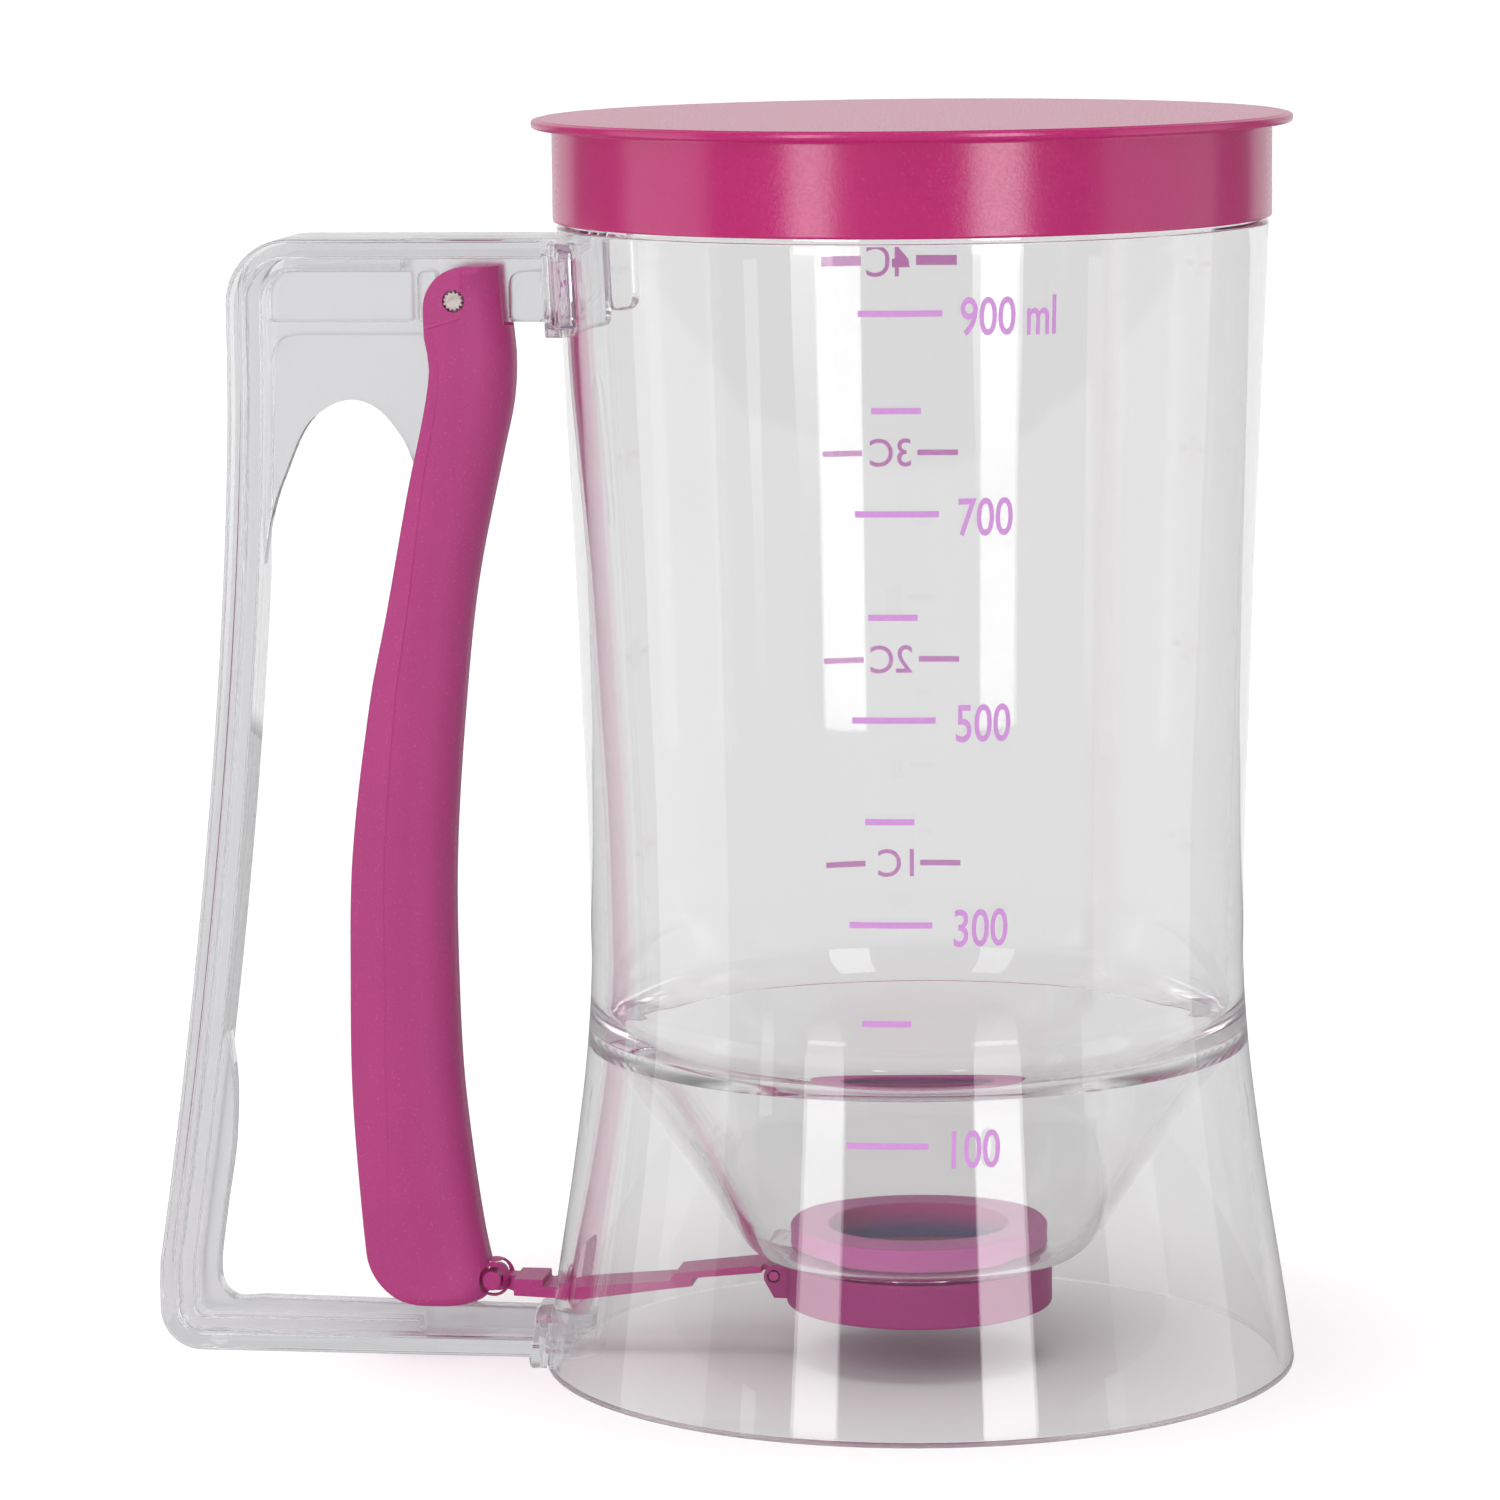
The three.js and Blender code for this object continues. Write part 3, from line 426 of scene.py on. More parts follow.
def moulded_clear_san(name, colour, shine=0.5, frosted_half=0.0, scuffed_foot=0.0):
    """Moulded styrene-acrylonitrile: water-clear and hard, so it shows crisp reflections and bends
    what is behind it. The melt leaves a faint waviness, and use leaves a slight haze of scuffs. A
    plate within the frosted half width of the middle plane keeps the matt finish of its mould, and
    a foot is matt up to the height that tables have scuffed."""
    made, tree, shader = material(name, Base_Color=linear(colour), IOR=1.57, Transmission_Weight=1.0,
                                  Specular_IOR_Level=shine)
    place = add(tree, "TexCoord").outputs["Object"]
    spot = add(tree, "SeparateXYZ", {0: place})
    # Flow waves of the melt, about 22 mm apart
    flow = add(tree, "TexNoise", {"Vector": place}, Scale=1 / (22 * MM), Detail=1.0)
    wave = add(tree, "Bump", {"Height": flow}, Strength=0.25, Distance=0.04 * MM)
    # Scuffs about 0.6 mm across
    scuff = add(tree, "TexNoise", {"Vector": place}, Scale=1 / (0.6 * MM), Detail=2.0)
    gloss = add(tree, "MapRange", {"Value": scuff}, From_Min=0.45, From_Max=0.8, To_Max=0.06)
    if frosted_half:  # matt where a point is near the middle plane and its face is parallel to it
        geometry = add(tree, "NewGeometry")
        facing = add(tree, "SeparateXYZ", {0: geometry.outputs["True Normal"]})
        flat = add(tree, "Math", {0: facing.outputs["Y"]}, operation="ABSOLUTE")
        grain = add(tree, "MapRange", {"Value": flat}, From_Min=0.8, From_Max=0.95, To_Max=0.34)
        off_middle = add(tree, "Math", {0: spot.outputs["Y"]}, operation="ABSOLUTE")
        matt = add(tree, "MapRange", {"Value": off_middle, "To Min": grain},
                   From_Min=frosted_half * MM, From_Max=(frosted_half + 0.15) * MM, To_Max=0.0)
        gloss = add(tree, "Math", {0: gloss, 1: matt}, operation="MAXIMUM")
    if scuffed_foot:
        scraped = add(tree, "MapRange", {"Value": spot.outputs["Z"]},
                      From_Max=scuffed_foot * MM, To_Min=0.5, To_Max=0.0)
        gloss = add(tree, "Math", {0: gloss, 1: scraped}, operation="MAXIMUM")
    feed(shader, {"Roughness": gloss, "Normal": wave})
    return made


def moulded_satin_pp(name, colour, deep, grain, gloss, dust, shine=0.5, painted_shade=None):
    """Moulded polypropylene from a spark-eroded mould: an even pink-violet with a satin grain that
    spreads its highlights, and a little pale dust held by the grain. A lower shine is for pieces seen
    through the tub, and a painted shade colour darkens the outlet's lower edge, deep in shade."""
    made, tree, shader = material(name, IOR=1.49, Base_Color=linear(colour), Specular_IOR_Level=shine)
    place = add(tree, "TexCoord").outputs["Object"]
    # Slight clouding of the pigment, some 15 mm across
    cloud = add(tree, "TexNoise", {"Vector": place}, Scale=1 / (15 * MM), Detail=2.0)
    tint = add(tree, "Mix", {"Factor": cloud}, data_type="RGBA", i6=linear(deep), i7=linear(colour))
    if painted_shade:
        # Painted shade: the colour turns darker and bluer towards the outlet's lower edge
        spot = add(tree, "SeparateXYZ", {0: place})
        shade_share = add(tree, "MapRange", {"Value": spot.outputs["Z"]}, interpolation_type="SMOOTHSTEP",
                    From_Min=PAINTED_SHADE_LOW * MM, From_Max=PAINTED_SHADE_HIGH * MM, To_Min=1.0, To_Max=0.0)
        tint = add(tree, "Mix", {"Factor": shade_share, 6: tint.outputs[2]}, data_type="RGBA", i7=linear(painted_shade))
    # Dust specks about 0.35 mm across
    specks = add(tree, "TexNoise", {"Vector": place}, Scale=1 / (0.35 * MM), Detail=1.0)
    share = add(tree, "MapRange", {"Value": specks}, From_Min=0.62, From_Max=0.8, To_Max=dust)
    coat = add(tree, "Mix", {"Factor": share, 6: tint.outputs[2]}, data_type="RGBA", i7=linear("#d9b9c9"))
    # Spark-eroded grain is about 0.1 mm; it is drawn at the size given so that it shows
    pits = add(tree, "TexNoise", {"Vector": place}, Scale=1 / (grain * MM), Detail=2.0)
    rough = add(tree, "MapRange", {"Value": pits},
                From_Min=0.3, From_Max=0.7, To_Min=gloss - 0.05, To_Max=gloss + 0.08)
    relief = add(tree, "Bump", {"Height": pits}, Strength=0.35, Distance=0.03 * MM)
    feed(shader, {"Base Color": coat.outputs[2], "Roughness": rough, "Normal": relief})
    return made


def drawn_steel(name, colour, gloss):
    """Drawn and tumbled steel: a bright grey metal with fine marks that break up its shine."""
    made, tree, shader = material(name, Base_Color=linear(colour), Metallic=1.0)
    place = add(tree, "TexCoord").outputs["Object"]
    # Tumbling marks about 0.2 mm across
    marks = add(tree, "TexNoise", {"Vector": place}, Scale=1 / (0.2 * MM), Detail=3.0)
    rough = add(tree, "MapRange", {"Value": marks},
                From_Min=0.3, From_Max=0.7, To_Min=gloss - 0.08, To_Max=gloss + 0.12)
    relief = add(tree, "Bump", {"Height": marks}, Strength=0.5, Distance=0.03 * MM)
    feed(shader, {"Roughness": rough, "Normal": relief})
    return made


def screen_print_ink(name, colour, thin):
    """Screen-printed ink: a flat pink-violet film, a touch uneven where the mesh left less of it."""
    made, tree, shader = material(name, Base_Color=linear(colour), Roughness=0.5, IOR=1.5)
    place = add(tree, "TexCoord").outputs["Object"]
    # The screen's mesh is about 0.1 mm; the film's unevenness is drawn at 0.5 mm so that it shows
    film = add(tree, "TexNoise", {"Vector": place}, Scale=1 / (0.5 * MM), Detail=2.0)
    tint = add(tree, "Mix", {"Factor": film}, data_type="RGBA", i6=linear(thin), i7=linear(colour))
    feed(shader, {"Base Color": tint.outputs[2]})
    return made


clear_tub_san = moulded_clear_san("clear_tub_san", "#fdfdfd", scuffed_foot=0.7)
clear_handle_san = moulded_clear_san("clear_handle_san", "#eeeef0", shine=0.4, frosted_half=WEB / 2 + 0.02)
# The web's free edge is tinted dark grey: a painted dark line, as painted shade along the clear edge
dark_edge_line_san = moulded_clear_san("dark_edge_line_san", "#77767a", shine=0.4)
lid_pp = moulded_satin_pp("lid_pp", "#bb0c6c", "#b00962", grain=0.35, gloss=0.19, dust=0.04, shine=0.9)
trigger_pp = moulded_satin_pp("trigger_pp", "#ae3179", "#a42b71", grain=0.5, gloss=0.44, dust=0.10)
bar_pp = moulded_satin_pp("bar_pp", "#aa2e76", "#9f286d", grain=0.4, gloss=0.36, dust=0.08)
# The gate's own pink-violet is deepened: painted shade under the funnel
gate_pp_painted_shade = moulded_satin_pp("gate_pp_painted_shade", "#982b70", "#8e2667", grain=0.4, gloss=0.5, dust=0.05, shine=0.35)
# The ring's pink-violet is lightened and blued: painted sheen of its top face, seen at a grazing angle
ring_pp_painted_sheen = moulded_satin_pp("ring_pp_painted_sheen", "#bb559a", "#b04c8f", grain=0.4, gloss=0.5, dust=0.05, shine=0.4)
# The ring's bore has its own deeper colour, darkening to blue-grey at its foot: a painted shade copy of the
# ring's material
shaded_bore_pp = moulded_satin_pp("shaded_bore_pp", "#b53c82", "#a93578", grain=0.4, gloss=0.6, dust=0.05, shine=0.3,
                           painted_shade="#4c4272")
pin_steel = drawn_steel("pin_steel", "#f0e6e4", 0.62)
spring_steel = drawn_steel("spring_steel", "#b9bbbd", 0.28)
near_ink = screen_print_ink("near_ink", "#c583cb", "#cf98d6")
far_ink = screen_print_ink("far_ink", "#b968b4", "#c27dbf")


# Tub

def funnel_faces():
    """The funnel's lower face from the outlet outwards, and its upper face from the wall inwards."""
    under = [(p.x, p.y) for p in smooth_line(FUNNEL_UNDER, 8)]
    upper = []
    for i, (radius, height) in enumerate(under):
        (r0, z0), (r1, z1) = under[max(i - 1, 0)], under[min(i + 1, len(under) - 1)]
        run, rise = r1 - r0, z1 - z0
        length = hypot(run, rise)
        thick = FLOOR_WALL + (WALL - FLOOR_WALL) * min(max(rise / length / FULL_WALL_SHARE, 0), 1)
        upper.append((radius - thick * rise / length, height + thick * run / length))
    (r0, z0), (r1, z1) = upper[-2], upper[-1]
    slope = (z1 - z0) / (r1 - r0)
    wall_radius = body_radius(z1) - WALL
    corner = Vector((wall_radius, z1 + (wall_radius - r1) * slope))
    first = corner - Vector((1, slope)).normalized() * FUNNEL_FILLET
    last = Vector((body_radius(corner.y + FUNNEL_FILLET) - WALL, corner.y + FUNNEL_FILLET))
    fillet = [tuple(first.lerp(corner, t).lerp(corner.lerp(last, t), t)) for t in steps(1, 0, 16)]
    start = OUTLET_RADIUS + OUTLET_EDGE + 0.1
    upper = [p for p in upper if start < p[0] < first.x - 0.2]
    return [p for p in under if p[0] > start], fillet + upper[::-1]


def clear_tub():
    """The tub as one moulding: foot, skirt, waisted wall, neck and funnel floor, two rails beside the
    handle's upper pad, and the window that the bar passes through."""
    foot = [(BASE_RADIUS - WALL + 0.35, 0.0), (BASE_RADIUS - 0.4, 0.0), (BASE_RADIUS - 0.12, 0.12)]
    outside = [(body_radius(z), z) for z in steps(0.45, SHOULDER_HEIGHT - 0.35, 70)]
    neck = [(SHOULDER_RADIUS - 0.1, SHOULDER_HEIGHT - 0.1), (SHOULDER_RADIUS - 0.35, SHOULDER_HEIGHT),
            (NECK_RADIUS + 0.2, SHOULDER_HEIGHT), (NECK_RADIUS, SHOULDER_HEIGHT + 0.3),
            (NECK_RADIUS, NECK_TOP - 0.4), (NECK_RADIUS - 0.1, NECK_TOP - 0.1), (NECK_RADIUS - 0.4, NECK_TOP)]
    under, bowl = funnel_faces()
    inner_neck = SHOULDER_RADIUS - WALL
    inside = [(inner_neck + 0.3, NECK_TOP), (inner_neck, NECK_TOP - 0.3)]
    inside += [(body_radius(z) - WALL, z) for z in steps(SHOULDER_HEIGHT, bowl[0][1] + 0.4, 56)]
    beyond = OUTLET_RADIUS + 9
    lip = rounded([(beyond, FLOOR_HEIGHT, 0), (OUTLET_RADIUS, FLOOR_HEIGHT, OUTLET_EDGE),
                   (OUTLET_RADIUS, FLOOR_UNDER, OUTLET_EDGE), (beyond, FLOOR_UNDER, 0)], 4)[1:-1]
    inner_skirt = [(body_radius(z) - WALL, z) for z in steps(under[-1][1] + 0.05, 0.4, 44)]
    thing = turned(foot + outside + neck + inside + bowl + lip + under + inner_skirt)
    rails = []
    bottom, inner = HANDLE_TOP - UPPER_PAD + RAIL_LIFT, PAD_HALF + RAIL_GAP
    for y in (inner, -inner - RAIL_WIDTH):
        outline = side_plate(y, y + RAIL_WIDTH, bottom - 0.01, HANDLE_TOP + 0.01, 2.6)
        rails.append(carve(tub_shell(bottom, HANDLE_TOP, -WALL / 2, RAIL_DEPTH, 0.5), [outline], "INTERSECT"))
    carve(thing, rails, "UNION")
    return carve(thing, [side_plate(-WINDOW_HALF, WINDOW_HALF, WINDOW_LOW, WINDOW_HIGH, 2.0)])


def outlet_ring():
    """Coloured ring that stands on the funnel's floor, with a sleeve that lines the outlet."""
    low, bottom, outer = FLOOR_HEIGHT + RING_LIFT, FLOOR_UNDER + RING_LIFT, OUTLET_RADIUS - SLEEVE_GAP
    inner = outer - SLEEVE
    return turned(rounded([(inner, bottom, 0.2), (outer, bottom, 0.2), (outer, low, 0),
                           (RING_RADIUS, low, 0.3), (RING_RADIUS, RING_TOP, 0.4), (inner, RING_TOP, 0.3)], 5),
                  RING_ROUND)


# Handle

def post_face(height):
    """Where the outer face of the handle's post is. It leans out towards the foot."""
    low, high = 2 * LOWER_CORNER, HANDLE_TOP - 2 * UPPER_CORNER
    share = min(max((height - low) / (high - low), 0), 1)
    return -POST_REACH - POST_LEAN * (1 - share) ** POST_LEAN_POWER


def handle_line(inset):
    """Line set in from the handle's outer face, from the tub round the post and back."""
    top_x = post_face(HANDLE_TOP - UPPER_CORNER) + UPPER_CORNER
    foot_x = post_face(LOWER_CORNER) + LOWER_CORNER
    post = steps(HANDLE_TOP - 1.3 * UPPER_CORNER, 1.6 * LOWER_CORNER, 44)
    return [
        (HANDLE_START, HANDLE_TOP - inset),
        *arc(top_x, HANDLE_TOP - UPPER_CORNER, UPPER_CORNER - inset, 90, 180, 14),
        *[(post_face(z) + inset, z) for z in post],
        *arc(foot_x, LOWER_CORNER, LOWER_CORNER - inset, 180, 270, 12),
        (HANDLE_START, inset),
    ]


def along_handle(section):
    """Runs a section of (inset, y) points along the handle's line."""
    lines = {inset: handle_line(inset) for inset, _ in section}
    return lofted([[(lines[inset][i][0], y, lines[inset][i][1]) for inset, y in section]
                   for i in range(len(handle_line(0)))])


def web_outline():
    def line(shares):
        places = [(-PIVOT_OUT - across * POST_OUT, up * HANDLE_TOP) for across, up in shares]
        return [(p.x, p.y) for p in smooth_line(places, 6)]

    tongue_end = -PIVOT_OUT - TONGUE_EDGE_SHARES[-1][0] * POST_OUT
    return [*handle_line(RIM / 2), (HANDLE_START, FOOT_WEB), *line(LOWER_EDGE_SHARES),
            *line(ARCH_EDGE_SHARES + TONGUE_EDGE_SHARES), (tongue_end, PANEL_LOW), (HANDLE_START, PANEL_LOW)]


def clear_handle():
    """C-shaped rim with a narrow step inside it, a thin web along its middle, shallow panels in the
    upper bar, and two pads that sit against the tub."""
    half, soft = HANDLE_WIDTH / 2, 0.9
    rim = along_handle(rounded([(0, -half, soft), (RIM, -half, soft), (RIM, half, soft), (0, half, soft)], 4))
    step = along_handle(rounded([(RIM - 0.5, -STEP_HALF, 0), (STEP_INSET, -STEP_HALF, 0.6),
                                 (STEP_INSET, STEP_HALF, 0.6), (RIM - 0.5, STEP_HALF, 0)], 4))
    carve(step, [block(-PIVOT_OUT - STEP_END, 0, -half - 1, half + 1, -1, HANDLE_TOP + 1)])

    web = plate(web_outline(), WEB, 0, 0.45)
    sunk = rounded([(post_face(SUNK_TOP) + SUNK_INSET, SUNK_TOP, 4),
                    *[(post_face(z) + SUNK_INSET, z, 0) for z in steps(SUNK_TURN, SUNK_BOTTOM, 8)],
                    (SUNK_END, SUNK_BOTTOM, 0), (SUNK_END, SUNK_TOP, 0)], 8)
    cuts = sinkers(sunk, WEB / 2, SUNK_DEPTH, 0.3)
    for start, end in PANEL_SPANS:
        panel = rounded([(start, PANEL_LOW, 1.0), (end, PANEL_LOW, 0.8), (end, PANEL_HIGH, 0.8),
                         (start, PANEL_HIGH, 4.5)])
        cuts += sinkers(panel, WEB / 2, PANEL_RECESS, 0.3)
    carve(web, cuts)

    pads = []
    upper_low = HANDLE_TOP - UPPER_PAD
    for low, high, crop_low in ((upper_low, HANDLE_TOP - PAD_LIFT, upper_low),
                                (PAD_LIFT, LOWER_PAD, -OVERRUN)):
        crop = side_plate(-PAD_HALF, PAD_HALF, crop_low, high + OVERRUN, 2.0)
        pads.append(carve(tub_shell(low, high, 0, PAD_THICKNESS, 0.6), [crop], "INTERSECT"))
    carve(rim, [step, web, *pads], "UNION")

    wall = [(body_radius(z) + HANDLE_GAP, z) for z in [0, *steps(2, SHOULDER_HEIGHT, 60)]]
    above = SHOULDER_HEIGHT + OVERRUN
    room = turned([(0, -OVERRUN), (wall[0][0], -OVERRUN), *wall, (wall[-1][0], above), (0, above)],
                  hollow=False)
    return carve(rim, [room, cross_bar(PIN_RADIUS + PIN_GAP, HANDLE_WIDTH, -PIVOT_OUT, PIVOT_HEIGHT)])


# Trigger

def corner_pull(distance, radius):
    """How far a round corner draws an edge in, at a distance from the end."""
    if distance >= radius:
        return 0.0
    return radius - sqrt(radius ** 2 - (radius - max(distance, 0)) ** 2)


def trigger_section(height, inset):
    """Level section of the trigger: lips at the open edge, a flat strip, then the rounded back."""
    share = (height - TRIGGER_BOTTOM) / (TRIGGER_TOP - TRIGGER_BOTTOM)
    from_top, from_bottom = TRIGGER_TOP - height, height - TRIGGER_BOTTOM
    opened = (-PIVOT_OUT - TRIGGER_BOW * smooth_share(OPEN_EDGE_SHARES, share)
              + corner_pull(from_top, HEAD_CORNER) + corner_pull(from_bottom, FOOT_CORNER))
    back = (-PIVOT_OUT - TRIGGER_BOW * smooth_share(BACK_EDGE_SHARES, share)
            - corner_pull(from_bottom, HEEL_CORNER))
    crease = TRIGGER_WIDTH * smooth_share(CREASE_SHARES, share)
    squeeze = 0 if inset else corner_pull(from_top, HEAD_SOFT) + corner_pull(from_bottom, FOOT_SOFT)
    half = TRIGGER_WIDTH / 2 - inset - squeeze
    round_x = max(back - opened - crease, TRIGGER_WALL)
    ax, ay = max(round_x - inset, 0.3), max(BACK_ROUND_SHARE * TRIGGER_WIDTH / 2 - inset - squeeze, 0.3)
    bend_x = back - inset - ax
    side = [(bend_x + ax * sin(a), half - ay + ay * cos(a)) for a in steps(0, pi / 2, 26)]
    if inset:
        far = [(opened - OVERRUN, half), *side]
    else:
        dip = smooth_share(CREASE_DIP, share)
        groove = max(smooth_share(GROOVE_DEPTH, share), GROOVE_LEAST)
        low, lip = half - dip, TRIGGER_LIP
        run = bend_x - GROOVE_WIDTH - opened - lip
        edge = [(opened + lip * (1 - cos(a)), low - lip + lip * sin(a)) for a in steps(0, pi / 2, 5)[:-1]]
        strip = [(opened + lip + run * t, low + dip * t) for t in steps(0, 1, 5)]
        far = [*edge, *strip, (bend_x - GROOVE_WIDTH / 2, half - groove), *side]
    return [(x, -y, height) for x, y in far] + [(x, y, height) for x, y in reversed(far)]


def trigger_lever():
    """A channel, closed towards the tub, that straddles the web and hangs from the pivot."""
    ends = [TRIGGER_END * (1 - cos(a)) for a in steps(0, pi / 2, 14)]
    middle = steps(TRIGGER_BOTTOM + TRIGGER_END, TRIGGER_TOP - TRIGGER_END, 60)[1:-1]
    heights = [*[TRIGGER_BOTTOM + d for d in ends], *middle, *[TRIGGER_TOP - d for d in reversed(ends)]]
    thing = lofted([trigger_section(z, 0) for z in heights])
    inner_heights = steps(TRIGGER_BOTTOM + TRIGGER_WALL, TRIGGER_TOP + 0.3, 50)
    inner = lofted([trigger_section(z, TRIGGER_WALL) for z in inner_heights])

    # Eye for the bar's cross pin
    eye_radius, eye_half = CROSS_RADIUS + EYE_WALL, CROSS_HALF + EYE_SIDE
    eye = turned([(eye_radius * sin(a), -eye_radius * cos(a)) for a in steps(0, pi, 20)],
                 SMALL_ROUND, hollow=False)
    widened = Matrix.Diagonal((1, eye_half / eye_radius, 1, 1))
    eye.data.transform(Matrix.Translation((-CROSS_REACH, 0, CROSS_HEIGHT)) @ widened)
    carve(thing, [eye], "UNION")

    # Slot for that pin, slits for the web and the bar, and the back cut away above the pivot
    slot = CROSS_RADIUS + SLOT_GAP
    left, right = -CROSS_REACH - slot, -CROSS_REACH + slot
    low, high = CROSS_HEIGHT - slot - SLOT_PLAY, CROSS_HEIGHT + slot + SLOT_PLAY
    pin_slot = rounded([(left, low, slot), (right, low, slot), (right, high, slot), (left, high, slot)], 8)
    web_slit, bar_slit, above = WEB / 2 + 0.35, BAR_TAIL / 2 + 0.3, TRIGGER_TOP + OVERRUN
    back = max(x for x, _, _ in trigger_section(BACK_TOP, 0))
    beyond = back + OVERRUN
    tools = [
        inner,
        block(-100, 0, -web_slit, web_slit, BACK_TOP - 0.3, above),
        plate([(back - 0.8, BACK_TOP), (back - 1.6, above), (beyond, above), (beyond, BACK_TOP)], 20),
        cross_bar(COIL_RADIUS + WIRE_RADIUS + 0.4, TRIGGER_WIDTH - 2 * TRIGGER_WALL,
                  -PIVOT_OUT, PIVOT_HEIGHT),
        block(-CROSS_REACH - eye_radius, -CROSS_REACH + eye_radius + OVERRUN, -bar_slit, bar_slit,
              0, CROSS_HEIGHT + 2.6),
        cross_bar(PIN_RADIUS + PIN_GAP, 30, -PIVOT_OUT, PIVOT_HEIGHT),
        plate(pin_slot, TRIGGER_WIDTH),
    ]
    recess = rounded([(-PIVOT_OUT - out * HEAD_RADIUS, PIVOT_HEIGHT + up * HEAD_RADIUS, 1.2)
                      for out, up in HEAD_RECESS_SHARES])
    return carve(thing, tools + sinkers(recess, TRIGGER_WIDTH / 2, HEAD_DEPTH, 0.5))


def pivot_pin():
    """Steel pin with a knurled rim and a small chamfer at each end."""
    half = TRIGGER_WIDTH / 2 - 0.4
    chamfer = [(half - 0.12, 0.35), (half, 0.6), (half - 0.05, 0.88), (half - 0.25, 1)]
    turns = steps(0, 2 * pi, 4 * PIN_NOTCHES)[:-1]
    rim = [(a, PIN_RADIUS - NOTCH_DEPTH * (i % 4 > 1)) for i, a in enumerate(turns)]
    levels = [(-y, share) for y, share in chamfer] + chamfer[::-1]
    return lofted([[(-PIVOT_OUT + radius * share * cos(a), y, PIVOT_HEIGHT + radius * share * sin(a))
                    for a, radius in rim] for y, share in levels])


def return_spring():
    """Wire spring: a leg under the upper bar, the coil, and a leg down the trigger's back."""
    turn, start, first = 2 * pi * COIL_TURNS, pi / 3, WEB / 2 + COIL_GAP + WIRE_RADIUS
    coil = []
    for t in steps(0, 1, 17):
        x, z = (COIL_RADIUS * f(start - t * turn) for f in (cos, sin))
        coil.append(Vector((-PIVOT_OUT + x, first + (1 - t) * COIL_TURNS * COIL_PITCH, PIVOT_HEIGHT + z)))

    def leg(end, angle, away, length):
        return [end + Vector((-away * d * sin(angle), 0, away * d * cos(angle)))
                for d in steps(length / 3, length, 2)]

    line = leg(coil[0], start, 1, UPPER_LEG)[::-1] + coil + leg(coil[-1], start - turn, -1, LOWER_LEG)
    return wire(smooth_line(line, 5), WIRE_RADIUS)


# Bar and gate

def slide_bar():
    """Flat bar with a stop block, a cross pin in the trigger and a pin in the gate's lugs."""
    length = CROSS_REACH - LUG_REACH

    def point(share):
        return (-LUG_REACH - share[0] * length, share[1] * BAR_STOP)

    outline = [(-CROSS_REACH, CROSS_HEIGHT + CROSS_RADIUS / 2), *map(point, BAR_TOP_SHARES),
               (-LUG_REACH, LUG_HEIGHT + LUG_PIN), (-LUG_REACH, LUG_HEIGHT - LUG_PIN),
               *map(point, BAR_BOTTOM_SHARES), (-CROSS_REACH, CROSS_HEIGHT - CROSS_RADIUS / 2)]
    thing = plate(rounded([(x, z, 0.3) for x, z in outline], 3), BAR_WIDTH, 0, 0.12)
    nose_end, tail_start = LUG_REACH + LUG_EAR + 0.3, LUG_REACH + length * BAR_TOP_SHARES[0][0]
    carve(thing, [block(x0, x1, *sorted((side * width / 2, side * BAR_WIDTH)), 0, 15.7)
                  for x0, x1, width in ((-nose_end, 0, BAR_NOSE), (-100, -tail_start, BAR_TAIL))
                  for side in (-1, 1)])
    return carve(thing, [
        cross_bar(LUG_HUB, BAR_NOSE, -LUG_REACH, LUG_HEIGHT, 0.2),
        cross_bar(LUG_PIN, BAR_NOSE + 2 * (EAR_GAP + EAR_WIDTH), -LUG_REACH, LUG_HEIGHT, 0.15),
        cross_bar(CROSS_RADIUS, 2 * CROSS_HALF, -CROSS_REACH, CROSS_HEIGHT, 0.3),
    ], "UNION")


def gate_cap():
    """Shallow cap that closes the outlet, with two lugs for the bar's pin."""
    inner, under = GATE_RADIUS - GATE_WALL, GATE_TOP - GATE_ROOF
    profile = rounded([(GATE_RADIUS, GATE_TOP, 0.9), (GATE_RADIUS, GATE_BOTTOM, 0.5),
                       (inner, GATE_BOTTOM, 0.3), (inner, under, 0.8)], 6)
    thing = turned([(0, GATE_TOP), *profile, (0, under)], RING_ROUND, hollow=False)
    root_x, root_z = -GATE_RADIUS + 0.8, GATE_BOTTOM + 0.6
    outline = [*arc(-LUG_REACH, LUG_HEIGHT, LUG_EAR, 90, 180, 8), (-LUG_REACH - LUG_EAR, LUG_HEIGHT - 0.6),
               (-LUG_REACH, root_z), (root_x, root_z), (root_x, LUG_HEIGHT + LUG_EAR)]
    ears = []
    for side in (-1, 1):
        ear = plate(outline, EAR_WIDTH, side * (BAR_NOSE / 2 + EAR_GAP + EAR_WIDTH / 2), 0.2)
        ears.append(carve(ear, [cross_bar(LUG_PIN + EAR_BORE_GAP, 12, -LUG_REACH, LUG_HEIGHT)]))
    return carve(thing, ears, "UNION")


# Lid

def lid():
    """Lift-off lid: a thin disc with a softly rounded rim, over a deep collar that grips the neck."""
    inner = COLLAR_RADIUS - COLLAR_WALL
    profile = rounded([
        (DISC_RADIUS, DISC_TOP, 0.65), (DISC_RADIUS, DISC_BOTTOM, 0.6), (COLLAR_RADIUS, DISC_BOTTOM, 0.5),
        (COLLAR_RADIUS, COLLAR_BOTTOM, 0.35), (inner, COLLAR_BOTTOM, 0.3), (inner, DISC_BOTTOM, 0.4)], 6)
    face = [(radius, DISC_TOP) for radius in steps(0, DISC_RADIUS - 1, 12)]
    return turned([*face, *profile, (inner - 4, DISC_BOTTOM), (0, DISC_BOTTOM)], hollow=False)


# Printed scales, with places along the wall and heights in millimetres

